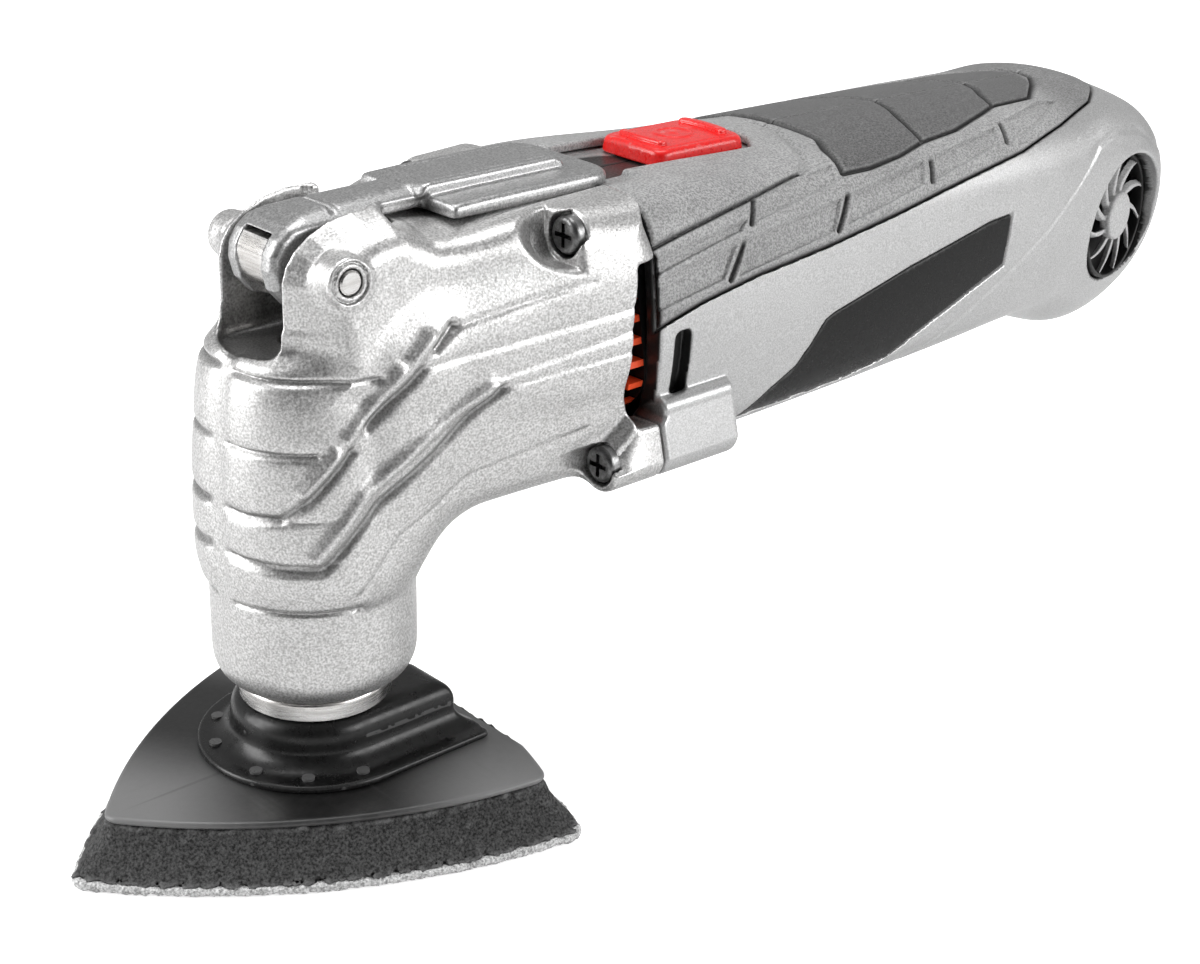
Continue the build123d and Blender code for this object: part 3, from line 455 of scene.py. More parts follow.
def front_edge(y, z):
    """Where the housing starts: level with the joint, set back along the air outlets."""
    within = ease((z - OUTLET_Z[0]) / 1.5) * ease((OUTLET_Z[1] - z) / 1.5)
    return HOUSING_X + within * ease((np.abs(y) - OUTLET_Y) / 2.0)


def side_slot(x, y, z, base):
    """Blind slot in the side, behind the joint."""
    rise = z - SLOT_Z
    flat = smax(np.abs(x - SLOT_X - rise * SLOT_LEAN) - SLOT_HALF[0], np.abs(rise) - SLOT_HALF[1], 1.8)
    return smax(smax(flat, 20.0 - np.abs(y), 1.0), -base - SLOT_DEPTH, 0.3)


def housing(x, y, z):
    """Left half of the motor housing, hollow."""
    x3, y3, z3 = np.broadcast_arrays(x, y, z)
    base = handle(x3, y3, z3)
    out = base.copy()
    near = np.abs(base) < 4.0
    xn, yn, zn = x3[near], y3[near], z3[near]
    zone = grip_depth(xn, yn, zn)
    recess = (GRIP_LAYER + 0.2) * ease(0.5 - (zone - 0.2) / 1.0)
    side = np.where(np.abs(yn) > 12, 1.0, 0.0)
    panel = polygon(xn, zn, PANEL_EDGE)
    panel_cut = side * (PANEL_SINK * ease(0.5 - panel / 0.8) - 0.2 * ridge(panel - 2.0, 0.9))
    tail = polygon(xn, zn, TAIL_ZONE)
    swell = side * (TAIL_SWELL * ease(0.5 - tail / 3.0) - 0.25 * ridge(tail - 1.0, 1.2))
    relief = panel_cut - swell * ease((zone - 1.0) / 3.0)
    out[near] = smax(base[near] + relief, base[near] + recess, 0.2)
    out = smax(out, -side_slot(x3, y3, z3, base), 0.6)
    out = smin(out, lower_boss(x3, y3, z3, 52.0, 77.0), 1.2)
    r, height, _, _ = intake_axes(x3, y3, z3)
    out = smax(out, -smax(r - INTAKE_R, -height - INTAKE_DEPTH, 1.0), 0.8)
    out = smax(out, -switch_bay(x3, y3, z3), 0.6)
    out = smax(out, -lever_flat(x3, y3, z3), 0.6)
    out = smax(out, front_edge(y3, z3) - x3, 1.0)
    cord = smax(np.hypot(y3, z3 - CORD_Z) - CORD_HOLE_R, 225.0 - x3, 0.6)
    out = smax(out, -cord, 0.6)
    out = smax(out, -(base + SHELL_WALL), 0.5)
    return smax(out, y3 + SHELL_GAP, 0.5)


def grip(x, y, z):
    """Left half of the soft grip."""
    x3, y3, z3 = np.broadcast_arrays(x, y, z)
    base = handle(x3, y3, z3)
    out = base.copy()
    near = np.abs(base) < 4.0
    xn, yn, zn = x3[near], y3[near], z3[near]
    v = wrap(xn, yn, zn)
    zone = polygon(xn, v, GRIP_ZONE)
    depth, _, _ = grip_marks(xn, v)
    out[near] = smax(base[near] + depth - 0.15, zone + 0.15, 0.9)
    out[~near] = np.maximum(base[~near], 1.0)
    out = smax(out, -(base + GRIP_LAYER - 0.05), 0.3)
    out = smax(out, -switch_bay(x3, y3, z3), 0.8)
    out = smax(out, -lever_flat(x3, y3, z3), 0.8)
    out = smax(out, front_edge(y3, z3) - x3, 0.8)
    return smax(out, y3 + GRIP_GAP, 0.5)


# ---------------------------------------------------------------- gear head
HEAD_WRAP_R = 20.0
BAND_EDGES = (24.5, 34.5, 43.0, 55.0, 67.7, 76.0)
RIM_Z = 70.4
FLOOR_Z = 69.4
EAR_GAP = 7.8
PIVOT = (-2.8, 85.0)         # x and z of the lever's pin
PIN_HOLE_R = 2.5
COLLAR_R = 4.4               # raised collar round each end of the pin
COLLAR_Y = 18.8
HEAD_WALL = 3.4
THROAT_R = 14.0              # room for the spindle and its bearings
BOLT_HOLE_R = 4.4
SCREW_HOLE_R = 2.3
LOWER_SINK = (4.0, 47.0)     # radius and seat of the holes that the screw heads lie in
UPPER_SINK = (4.2, 43.0)
EAR_PROFILE = [(-10.6, 60), (-10.6, 84.0), (-9.8, 87.0), (-8.0, 89.4), (-5.0, 91.6), (-1.0, 93.3),
               (4, 94.2), (9, 94.2), (12.0, 93.4), (14.0, 91.6), (16.5, 90.0), (20, 89.4), (24, 89.2),
               (57.5, 91.5), (57.5, 60)]
# raised ribs, grooves (painted dark as shade) and creases in the plane of (unrolled length from the front,
# height)
RIBS = [
    [(42.6, 73.2), (39.0, 69.9)],
    [(36.4, 68.0), (26.8, 57.4)],
    [(24.4, 54.7), (18.9, 48.4)],
    [(53.8, 62.9), (50.7, 61.2), (40.7, 54.9), (29.1, 46.6), (20.2, 36.0)],
]
RIB_GROOVES = [
    [(47.4, 74.2), (43.4, 71.0)],
    [(40.4, 67.7), (30.4, 58.7)],
    [(27.3, 54.9), (18.9, 46.4), (14.4, 43.2), (8, 42.7), (2, 43.0)],
    [(55.7, 61.7), (43, 51.4), (31.4, 43.8), (21.4, 33.6), (14, 33.6), (2, 34.5)],
]
LEVEL_GROOVES = [
    [(2, 67.7), (33, 67.3)],
    [(2, 55.0), (21, 54.8)],
    [(3, 24.3), (28, 24.3)],
]
CREASES = [
    [(41.4, 68), (57.4, 69.7), (83, 73)],
    [(47.4, 73.8), (61.4, 76.6), (74, 79)],
    [(54.4, 61.7), (72.4, 64), (83, 65)],
    [(53.9, 63.7), (82.4, 68.9)],
    [(50.4, 44.8), (62.4, 47.4), (74.4, 49.9)],
    [(27.9, 27.4), (36.4, 36.8), (43, 40), (50.4, 44.8)],
]


def unrolled(x, y):
    """Distance round the head from the middle of its front."""
    turn = HEAD_WRAP_R * np.arctan2(np.abs(y), -x)
    return np.where(x < 0, turn, HEAD_WRAP_R * math.pi / 2 + x)


def head_marks(x, y, z):
    """Height of the head's relief above its plain surface, and the painted shade of its grooves."""
    s = unrolled(x, y)
    front = ease((s - 0.8) / 3.5)
    groove_and_painted_shade = np.zeros_like(s)
    for points in RIB_GROOVES:
        groove_and_painted_shade = np.maximum(groove_and_painted_shade, ridge(path(s, z, points), 0.95))
    for points in LEVEL_GROOVES:
        groove_and_painted_shade = np.maximum(groove_and_painted_shade, 0.75 * ridge(path(s, z, points), 0.6))
    rib = np.zeros_like(s)
    for points in RIBS:
        rib = np.maximum(rib, ridge(path(s, z, points), 1.35))
    crease = np.zeros_like(s)
    for points in CREASES:
        crease = np.maximum(crease, ridge(path(s, z, points), 0.7))
    band = np.zeros_like(s)
    for low, high in zip(BAND_EDGES, BAND_EDGES[1:]):
        t = np.clip((z - low) / (high - low), 0, 1) * 2 - 1
        band = np.maximum(band, np.where((z > low) & (z < high), 1 - t ** 6, 0))
    band = band * (1 - ease((s - 14.0) / 16.0))
    below_ears = 1 - ease((z - 77.0) / 3.0)
    height = (0.45 * band + 0.9 * rib - 0.75 * groove_and_painted_shade - 0.28 * crease) * front * below_ears
    return height, groove_and_painted_shade * front


# (z, millimetres) that the column stands out by, then (x, millimetres) along the barrel and the ears
COLUMN_SWELL = [(24, -0.9), (29, 0.0), (38, 0.15), (46, -0.1), (54, -0.7), (62, -1.5), (70, -2.7)]
BARREL_WIDTH = [(0, 22.0), (28, 27.2), (57, 32.2)]
BARREL_WIDEST = [(0, 50), (57, 53)]
BARREL_BOTTOM = [(10, 33.6), (27, 35.4), (57, 37.6)]
BARREL_TOP = [(0, 73.5), (57, 82)]
EAR_WIDTH = [(-10, 17.4), (-2, 18.2), (12, 19.2), (30, 23.8), (44, 28.2), (57, 30.6)]
EAR_LEAN = 0.10
EAR_SLOPE = [(-3, 0.70), (3, 0.62), (10, 0.42), (16, 0.25), (24, 0.06), (57, 0.05)]
EAR_SLOPE_START = [(-5, 9.6), (4, 9.6), (12, 9.0), (20, 8.8)]
EAR_ROUNDING = [(-5, 2.2), (6, 2.4), (16, 3.5), (57, 8.0)]


def head_solid(x, y, z):
    """The casting without its relief and hollows."""
    ax, ay = np.abs(x), np.abs(y)
    corner = np.hypot(np.maximum(ax - 0.9, 0), np.maximum(ay - 2.4, 0)) - 18.3
    column = corner - curve(z, COLUMN_SWELL)
    column = smax(smax(column, z - RIM_Z, 5.0), 24.0 - z, 2.6)
    neck = smax(smax(np.hypot(x - 0.3, y) - 19.1, 3.8 - z, 7.0), z - 30.0, 1.0)
    low = smin(column, neck, 1.5)

    lower = side_planes(y, z, curve(x, BARREL_WIDTH), curve(x, BARREL_WIDEST), 8.0)
    lower = smax(lower, curve(x, BARREL_BOTTOM) - z, 7.0)
    lower = smax(lower, z - curve(x, BARREL_TOP), 8.0)
    lower = smax(lower, 1.0 - x, 8.0)
    ears = polygon(x, z, EAR_PROFILE) + curve(x, EAR_SLOPE) * np.maximum(ay - curve(x, EAR_SLOPE_START), 0)
    ear_sides = ay - curve(x, EAR_WIDTH) - (PIVOT[1] - z) * EAR_LEAN
    upper = smax(ear_sides, ears, curve(x, EAR_ROUNDING))
    barrel = smin(lower, upper, curve(x, [(-2, 3.0), (14, 7.0)]))
    return smin(low, barrel, curve(x, [(-4, 3.0), (14, 12.0)]))


def outlet(x, y, z):
    """Air outlet cut out of the rear edge at each side."""
    way = smax(smax(48.6 - z, z - 80.2, 1.0), 23.0 - np.abs(y), 1.0)
    return smax(way, curve(z, [(48, 51.8), (56, 50.2), (68, 50.0), (80, 51.6)]) - x, 1.2)


def upper_pocket(x, y, z):
    """Scoop in front of an upper screw."""
    corner = smax(18.2 - np.abs(y), 81.0 - z, 6.0)
    run_out = 0.045 * np.maximum(UPPER_FACE_X - x, 0.0) ** 2
    return smax(corner + run_out, x - UPPER_FACE_X, 0.4)


def head(x, y, z):
    """The whole casting: relief, bosses, room for the lever, outlets and bores."""
    x3, y3, z3 = np.broadcast_arrays(x, y, z)
    ay = np.abs(y3)
    solid = head_solid(x3, y3, z3)
    out = solid.copy()
    near = np.abs(solid) < 3.0
    height, _ = head_marks(x3[near], y3[near], z3[near])
    out[near] -= height
    out = smin(out, lower_boss(x3, y3, z3, LOWER_FACE_X, 70.0), 3.0)
    out = smax(out, -upper_pocket(x3, y3, z3), 1.4)
    # collar round each end of the pivot pin
    ring_r = np.hypot(x3 - PIVOT[0], z3 - PIVOT[1])
    collar = smax(smax(ring_r - COLLAR_R, ay - COLLAR_Y, 1.2), 14.0 - ay, 0.5)
    out = smin(out, collar, 1.6)
    # slot for the lever between the ears, and the flat behind it
    slot = smax(smax(ay - EAR_GAP, x3 - 15.0, 2.0), FLOOR_Z + 2.0 - z3, 1.0)
    well = smax(np.hypot(x3, y3) - 14.6, FLOOR_Z - z3, 1.6)
    well = smax(well, smax(ay - EAR_GAP - 1.6, x3 - 8.0, 2.0), 2.0)
    flat = smax(smax(10.0 - x3, ay - 15.4, 1.5), 89.9 - z3, 0.8)
    out = smax(out, -smin(smin(slot, well, 1.0), flat, 0.5), 0.9)
    out = smax(out, x3 - JOINT_X, 0.8)
    out = smax(out, -outlet(x3, y3, z3), 0.8)
    # hollow inside
    hollow = smax(smax(solid + HEAD_WALL, z3 - 66.0 - 18.0 * ease((x3 - 17.0) / 4.0), 2.0), 17.0 - z3, 1.0)
    hollow = smax(hollow, 4.0 - upper_pocket(x3, y3, z3), 1.0)
    throat = smax(np.hypot(x3, y3) - THROAT_R, z3 - 20.0, 0.5)
    bolt = smax(np.hypot(x3, y3) - BOLT_HOLE_R, 60.0 - z3, 0.5)
    low_r = np.hypot(ay - LOWER_BOSS[0], z3 - LOWER_BOSS[1])
    high_r = np.hypot(ay - UPPER_BOSS[0], z3 - UPPER_BOSS[1])
    lower_sink = smax(low_r - LOWER_SINK[0], x3 - LOWER_SINK[1], 0.2)
    upper_sink = smax(high_r - UPPER_SINK[0], x3 - UPPER_SINK[1], 0.2)
    shanks = np.minimum(low_r, high_r) - SCREW_HOLE_R
    screws = smax(smin(smin(lower_sink, upper_sink, 0.1), shanks, 0.1), 36.0 - x3, 0.5)
    pin = smax(ring_r - PIN_HOLE_R, 15.0 - ay, 0.3)
    ring = smax(np.abs(ring_r - 3.5) - 0.2, COLLAR_Y - 0.5 - ay, 0.2)
    holes = smin(smin(hollow, throat, 0.5), bolt, 0.5)
    holes = smin(holes, smin(screws, smin(pin, ring, 0.1), 0.1), 0.3)
    return smax(out, -holes, 0.35)


# ---------------------------------------------------------------- clamp lever
CHEEK = [(-10.9, 85.2), (-10.5, 88.0), (-9.0, 90.4), (-6.4, 92.4), (-2.8, 93.6), (2.4, 94.0), (4.6, 93.8),
         (13, 94.1), (22, 94.3), (22, 90.6), (13, 90.4), (8, 87.5), (4.4, 81.5), (0.6, 78.2),
         (-3.4, 77.2), (-7.4, 78.6), (-10.0, 81.6)]
RIB = [(3.4, 92.0), (5.0, 94.0), (12, 94.2), (19.5, 94.2), (23.5, 95.0), (52.6, 95.0), (54.6, 94.2),
       (55.4, 92.6), (55.4, 90.6), (22, 90.6), (10, 90.4)]


def lever(x, y, z):
    """Clamp lever: two cheeks on the pin, a rib along the top and a wing at each side."""
    x3, y3, z3 = np.broadcast_arrays(x, y, z)
    ay = np.abs(y3)
    cheeks = extruded(polygon(x3, z3, CHEEK), ay, 7.3, 2.2)
    rib = extruded(polygon(x3, z3, RIB), ay, 6.9, 1.2)
    shoulder = (ay - 3.8) * 0.5 + (z3 - 94.1) * 0.86 - 3.0 * ease((x3 - 20.5) / 3.0)
    front = smax(smin(cheeks, rib, 0.4), shoulder, 0.8)
    plan = smax(smax(ay - 14.2, x3 - 61.6, 6.0), 22.4 - x3, 2.0)
    wing = smax(plan, np.abs(z3 - 91.2) - 1.4 - 0.2 * ease((x3 - 22) / 12), 1.6)
    out = smin(front, wing, 0.5)
    # dark recess under the rib, ahead of the wings
    waist = smax(smax(np.abs(x3 - 18.0) - 5.0, 5.6 - ay, 1.0), z3 - 92.6, 1.0)
    out = smax(out, -waist, 1.0)
    notch = smax(np.abs(x3 - 3.6 - (z3 - 94) * 0.5) - 0.5, 92.9 - z3, 0.4)
    out = smax(out, -notch, 0.3)
    slot = smax(ay - 3.75, x3 - 5.3, 0.4)
    slot = smax(slot, z3 - 92.6 - 0.13 * (x3 - 5.2), 0.4)
    out = smax(out, -slot, 0.4)
    bore = np.hypot(x3 - PIVOT[0], z3 - PIVOT[1]) - 2.35
    out = smax(out, -bore, 0.3)
    # fine lines along the rib and the hollow of the wings' underside
    line = ridge(ay - 5.2, 0.35) * ease((x3 - 24) / 2) * ease((53 - x3) / 2) * ease((z3 - 94.0) / 0.5)
    return out + 0.18 * line


# ---------------------------------------------------------------- sanding pad
PAD_BOTTOM = -CLAMP_FACE
HOOK_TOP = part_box("hook_layer")[1].z * 1000 - CLAMP_FACE
FOAM_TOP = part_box("pad_foam")[1].z * 1000 - CLAMP_FACE
PLATE_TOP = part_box("pad_plate")[1].z * 1000 - CLAMP_FACE
PAD_NOSE_R = 3.2             # rounding of the three corners
PAD_BULGE = 9.0              # bow of the three sides
PAD_CORNER = 53.7            # axis to corner at the sheet, for the standard 93 mm delta sheet
PAD_TOP_CORNER = 46.5        # axis to corner at the top of the foam
FOAM_HOLLOW = 0.18           # how far the foam's side is drawn in


def delta(x, y, corner):
    """Outline of the pad: three bowed sides and rounded corners, one of them towards -X."""
    mid = corner / 2 + PAD_BULGE
    half_chord = corner * math.sin(math.radians(60))
    sag = mid - corner / 2
    radius = (half_chord ** 2 + sag ** 2) / (2 * sag)
    sides = []
    for turn in (240, 0, 120):
        a = math.radians(turn)
        centre = mid - radius
        sides.append(np.hypot(x - centre * math.cos(a), y - centre * math.sin(a)) - radius)
    return smax(smax(sides[0], sides[1], PAD_NOSE_R), sides[2], PAD_NOSE_R)


def wave_noise(x, y, z, size, seed, terms=18):
    """Smooth repeatable noise of about the given grain, between -1 and 1."""
    chance = np.random.default_rng(seed)
    total = 0.0
    for _ in range(terms):
        direction = chance.normal(size=3)
        direction /= np.linalg.norm(direction)
        pitch = size * chance.uniform(0.7, 1.6)
        phase = chance.uniform(0, 2 * math.pi)
        along = x * direction[0] + y * direction[1] + z * direction[2]
        total = total + np.sin(along * (2 * math.pi / pitch) + phase)
    return total / math.sqrt(terms)


def layer(side, z, low, high, k):
    """A flat layer of the pad between two heights."""
    return smax(side, np.abs(z - (low + high) / 2) - (high - low) / 2, k)


def foam(x, y, z):
    """Open-cell cushion, its side leaning in towards the top."""
    t = (z - HOOK_TOP) / (FOAM_TOP - HOOK_TOP)
    t = np.clip(t, 0, 1)
    # the side is slightly hollow between its two edges
    corner = PAD_CORNER + (PAD_TOP_CORNER - PAD_CORNER) * (t + FOAM_HOLLOW * np.sin(math.pi * t))
    side = delta_scaled(x, y, corner)
    out = layer(side, z, HOOK_TOP, FOAM_TOP, 0.5)
    return detailed(out, 2.0, lambda a, b, c: 0.22 * wave_noise(a, b, c, 2.4, 5), x, y, z)


def delta_scaled(x, y, corner):
    """The pad's outline at another size, in proportion."""
    share = corner / PAD_CORNER
    return delta(x / share, y / share, PAD_CORNER) * share


def hook(x, y, z):
    """Hook layer with its sheet, a little wider than the foam."""
    out = layer(delta(x, y, PAD_CORNER + 0.5), z, PAD_BOTTOM, HOOK_TOP, 0.7)
    return detailed(out, 1.5, lambda a, b, c: 0.10 * wave_noise(a, b, c, 1.3, 9), x, y, z)


def plate(x, y, z):
    """Rigid backing plate."""
    return layer(delta_scaled(x, y, PAD_TOP_CORNER + 0.2), z, FOAM_TOP, PLATE_TOP, 1.0)


HUB_R = 16.2                 # radius of the cup's round front
HUB_REAR = 21.0              # x of its square rear
HUB_FLANGE_R = 22.6
HUB_FLANGE_TOP = PLATE_TOP + 1.5
HUB_WALL = 2.0
HUB_SLOT_HALF = 3.9          # half width of the slot that slides round the clamp bolt
DRIVE_HOLES = 6
DRIVE_HOLE_R = 1.56
DRIVE_CIRCLE_R = 10.5


def u_plan(x, y, radius, rear):
    """Round at the front, straight sides running back to x = rear."""
    body = np.where(x < 0, np.hypot(x, y), np.abs(y)) - radius
    return smax(body, x - rear, 1.4)


def hub(x, y, z):
    """Mounting cup, open to the rear, with a slot and a ring of drive holes."""
    x3, y3, z3 = np.broadcast_arrays(x, y, z)
    flare = 2.6 * ease((-4.6 - z3) / 5.0) ** 2
    cup = smax(u_plan(x3, y3, HUB_R, HUB_REAR) - flare, z3, 4.2)
    cup = smax(cup, HUB_FLANGE_TOP - 1.0 - z3, 0.3)
    flange = layer(u_plan(x3, y3, HUB_FLANGE_R, HUB_REAR + 3.2), z3, PLATE_TOP, HUB_FLANGE_TOP, 0.8)
    out = smin(cup, flange, 1.6)
    hollow = smax(u_plan(x3, y3, HUB_R - HUB_WALL, HUB_REAR + 12), z3 + HUB_WALL, 1.0)
    slot = smax(u_plan(x3, y3, HUB_SLOT_HALF, HUB_REAR + 12), np.abs(z3) - 5.0, 0.5)
    out = smax(smax(out, -hollow, 0.6), -slot, 0.6)
    for n in range(DRIVE_HOLES):
        a = 2 * math.pi * (n + 0.5) / DRIVE_HOLES
        hole_x, hole_y = DRIVE_CIRCLE_R * math.cos(a), DRIVE_CIRCLE_R * math.sin(a)
        out = smax(out, DRIVE_HOLE_R - np.hypot(x3 - hole_x, y3 - hole_y), 0.2)
    return smax(out, z3 + 0.001, 0.1)


# ---------------------------------------------------------------- switch, intake grilles and badge
CAP_X = (77.5, 101.5)
CAP_HALF = 8.8


def switch_cap(x, y, z):
    """Sliding cap with a raised bar at each end and a plain ring pattern."""
    x3, y3, z3 = np.broadcast_arrays(x, y, z)
    mid = sum(CAP_X) / 2
    ax = np.abs(x3 - mid)
    plan = smax(ax - 11.9 + 0.03 * np.abs(y3), np.abs(y3) - CAP_HALF, 3.2)
    top = 92.3 - 0.012 * (x3 - mid) - 0.0035 * y3 ** 2
    out = smax(plan + 0.12 * (z3 - 92), z3 - top, 1.3)
    out = smax(out, 88.9 - z3, 0.5)
    for side in (-1, 1):
        bow = mid + side * (8.6 - 0.012 * y3 ** 2)
        bar = smax(smax(np.abs(x3 - bow) - 1.05, np.abs(y3) - 6.2, 0.9), np.abs(z3 - top) - 0.9, 0.6)
        out = smin(out, bar, 0.2)
    r = np.hypot(x3 - mid, y3)
    ring = 0.28 * ridge(r - 3.6, 0.5) + 0.25 * ridge(r, 0.8)
    rim = 0.14 * ridge(smax(ax - 10.6, np.abs(y3) - 7.4, 2.0), 0.4)
    return out + np.where(z3 > 91.3, rim - ring, 0.0)


VANES = 11


def grille(x, y, z):
    """Left intake grille: a hub, curved vanes, an outer ring and a disc behind them that stands in for the
    shade inside the intake.
    """
    x3, y3, z3 = np.broadcast_arrays(x, y, z)
    r, h, across, up = intake_axes(x3, y3, z3)
    ring = smax(np.abs(r - INTAKE_R + 0.6) - 0.45, np.abs(h + 3.6) - 1.6, 0.4)
    # disc behind the vanes, painted black as the shade inside the intake
    shade_disc = smax(r - INTAKE_R + 0.2, np.abs(h + 6.4) - 0.6, 0.3)
    centre = smax(r - 5.6, np.abs(h + 2.4) - 1.6 + 0.010 * r ** 2, 0.8)
    pitch = 2 * math.pi / VANES
    turn = np.arctan2(up, across) + 0.055 * (r - 4.0) + 0.06 * (h + 2.4)
    off = (np.mod(turn, pitch) - pitch / 2) * r
    width = 0.36 + 0.30 * ridge(r - 8.0, 3.0)
    vane = smax(np.abs(off) - width, smax(np.abs(h + 3.0) - 0.7, r - INTAKE_R + 0.9, 0.3), 0.3)
    vane = smax(vane, 4.5 - r, 0.3)
    return smin(smin(smin(ring, shade_disc, 0.3), centre, 0.5), vane, 0.4)


def badge(x, y, z):
    """Left side panel: a gloss inlay set just below the housing's surface."""
    x3, y3, z3 = np.broadcast_arrays(x, y, z)
    base = handle(x3, y3, z3)
    outline = np.broadcast_to(polygon(x, z, PANEL_EDGE), x3.shape)
    out = smax(base + 0.22, outline + 0.25, 0.5)
    out = smax(out, -(base + 2.0), 0.2)
    return smax(out, y3 + 12.0, 0.5)


def sleeve(x, y, z):
    """Bend guard round the cord, ribbed and tapering."""
    r = np.hypot(y, z - CORD_Z)
    rib = 0.45 * np.maximum(np.sin((x - 239.0) * 2 * math.pi / 3.0), -0.3)
    outside = curve(x, [(230, 5.9), (238, 6.0), (240, 6.0), (251.4, 4.7)]) + np.where(x > 239.2, rib, 0)
    body = smax(r - outside, x - 251.5, 0.8)
    body = smax(body, 229.8 - x, 0.4)
    collar = smax(r - 8.2, np.abs(x - 231.3) - 1.7, 0.5)
    return smax(smin(body, collar, 0.4), 3.55 - r, 0.3)


# ---------------------------------------------------------------- materials
class Look:
    """A procedural material, put together node by node."""

    def __init__(self, name):
        self.material = bpy.data.materials.new(name)
        self.material.use_nodes = True
        self.tree = self.material.node_tree
        self.shader = self.tree.nodes["Principled BSDF"]
        place = self.node("ShaderNodeTexCoord")
        self.place = place.outputs["Object"]

    def node(self, kind, **settings):
        """Adds a node with some of its settings."""
        made = self.tree.nodes.new(kind)
        for key, value in settings.items():
            setattr(made, key, value)
        return made

    def feed(self, socket, value):
        """Links an output to a socket, or sets the socket's value."""
        if hasattr(value, "links"):
            self.tree.links.new(value, socket)
        else:
            socket.default_value = value

    def noise(self, grain, detail=2.0, roughness=0.6, stretch=(1, 1, 1)):
        """Noise whose grain is given in millimetres."""
        mapping = self.node("ShaderNodeMapping")
        self.feed(mapping.inputs["Vector"], self.place)
        mapping.inputs["Scale"].default_value = stretch
        made = self.node("ShaderNodeTexNoise")
        self.feed(made.inputs["Vector"], mapping.outputs["Vector"])
        made.inputs["Scale"].default_value = 1000.0 / grain
        made.inputs["Detail"].default_value = detail
        made.inputs["Roughness"].default_value = roughness
        return made.outputs["Fac"]

    def spread(self, value, low, high, start=0.0, end=1.0):
        """Stretches value from start..end to low..high."""
        made = self.node("ShaderNodeMapRange")
        self.feed(made.inputs["Value"], value)
        made.inputs["From Min"].default_value = start
        made.inputs["From Max"].default_value = end
        made.inputs["To Min"].default_value = low
        made.inputs["To Max"].default_value = high
        return made.outputs["Result"]

    def mix(self, share, first, second):
        made = self.node("ShaderNodeMix", data_type="RGBA")
        self.feed(made.inputs["Factor"], share)
        self.feed(made.inputs["A"], first)
        self.feed(made.inputs["B"], second)
        return made.outputs["Result"]

    def maths(self, operation, first, second=0.0):
        made = self.node("ShaderNodeMath", operation=operation)
        self.feed(made.inputs[0], first)
        self.feed(made.inputs[1], second)
        return made.outputs["Value"]

    def shade(self, name):
        return self.node("ShaderNodeAttribute", attribute_name=name).outputs["Fac"]

    def edges(self, low=0.52, high=0.58):
        """1 on sharp outer edges, 0 elsewhere."""
        made = self.node("ShaderNodeNewGeometry")
        return self.spread(made.outputs["Pointiness"], 0.0, 1.0, low, high)

    def relief(self, height, millimetres, strength=1.0):
        made = self.node("ShaderNodeBump")
        self.feed(made.inputs["Height"], height)
        made.inputs["Distance"].default_value = millimetres / 1000.0
        made.inputs["Strength"].default_value = strength
        self.feed(self.shader.inputs["Normal"], made.outputs["Normal"])

    def finish(self, colour, metallic, roughness, **more):
        """Feeds the shader and hands back the material."""
        self.feed(self.shader.inputs["Base Color"], colour)
        self.feed(self.shader.inputs["Metallic"], metallic)
        self.feed(self.shader.inputs["Roughness"], roughness)
        for key, value in more.items():
            self.feed(self.shader.inputs[key.replace("_", " ").title().replace("Ior", "IOR")], value)
        return self.material


def grey(value, warm=0.0):
    """An even grey, or a slightly warm one."""
    return (value + warm, value, value - warm, 1.0)


def sparkle(name, dark, light, metallic, roughness, grain, bump, shade=None, wear=0.1):
    """Silver finish full of fine flakes."""
    look = Look(name)
    flakes = look.spread(look.noise(grain, 1.0, 0.5), 0.0, 1.0, 0.32, 0.68)
    cloud = look.noise(22.0, 3.0)
    colour = look.mix(flakes, dark, light)
    colour = look.mix(look.spread(cloud, 0.0, 0.14, 0.3, 0.7), colour, grey(0.28))
    colour = look.mix(look.maths("MULTIPLY", look.edges(), wear), colour, grey(0.95))
    # painted shade: the shade attribute takes the colour towards near black
    if shade:
        colour = look.mix(look.maths("MULTIPLY", look.shade(shade), 0.97), colour, grey(0.02))
    rough = look.spread(look.noise(grain * 1.7, 2.0), roughness - 0.08, roughness + 0.12, 0.3, 0.7)
    look.relief(look.noise(grain * 1.25, 2.0, 0.6), bump)
    return look.finish(colour, metallic, rough)


def plastic(name, dark, light, roughness, grain, bump, shade=None, shade_to=grey(0.008), coat=0.0,
            shine=0.5):
    """Moulded plastic, rubber or foam with a fine speckle."""
    look = Look(name)
    speck = look.spread(look.noise(grain, 2.0, 0.6), 0.0, 1.0, 0.34, 0.66)
    colour = look.mix(speck, dark, light)
    colour = look.mix(look.spread(look.noise(14.0, 3.0), 0.0, 0.2, 0.3, 0.7), colour, dark)
    colour = look.mix(look.maths("MULTIPLY", look.edges(), 0.12), colour, grey(0.7))
    # the shade attribute takes the colour towards shade_to: painted shade, and on the backing plate a
    # painted sheen
    if shade:
        colour = look.mix(look.shade(shade), colour, shade_to)
    rough = look.spread(look.noise(grain * 3, 2.0), roughness - 0.06, roughness + 0.08, 0.3, 0.7)
    look.relief(look.noise(grain, 2.0, 0.6), bump)
    return look.finish(colour, 0.0, rough, coat_weight=coat, specular_ior_level=shine)


def machined(name, tint, dark_tint, roughness, stretch=(0.05, 1, 1), grain=0.25):
    """Turned or ground metal with fine lines along it."""
    look = Look(name)
    lines = look.noise(grain, 3.0, 0.7, stretch)
    stain = look.noise(5.0, 3.0)
    colour = look.mix(look.spread(lines, 0.0, 0.6, 0.35, 0.65), tint, dark_tint)
    colour = look.mix(look.spread(stain, 0.0, 0.3, 0.4, 0.75), colour, dark_tint)
    colour = look.mix(look.maths("MULTIPLY", look.edges(), 0.4), colour, grey(0.9))
    rough = look.spread(lines, roughness - 0.06, roughness + 0.12, 0.3, 0.7)
    look.relief(lines, 0.02)
    return look.finish(colour, 1.0, rough)


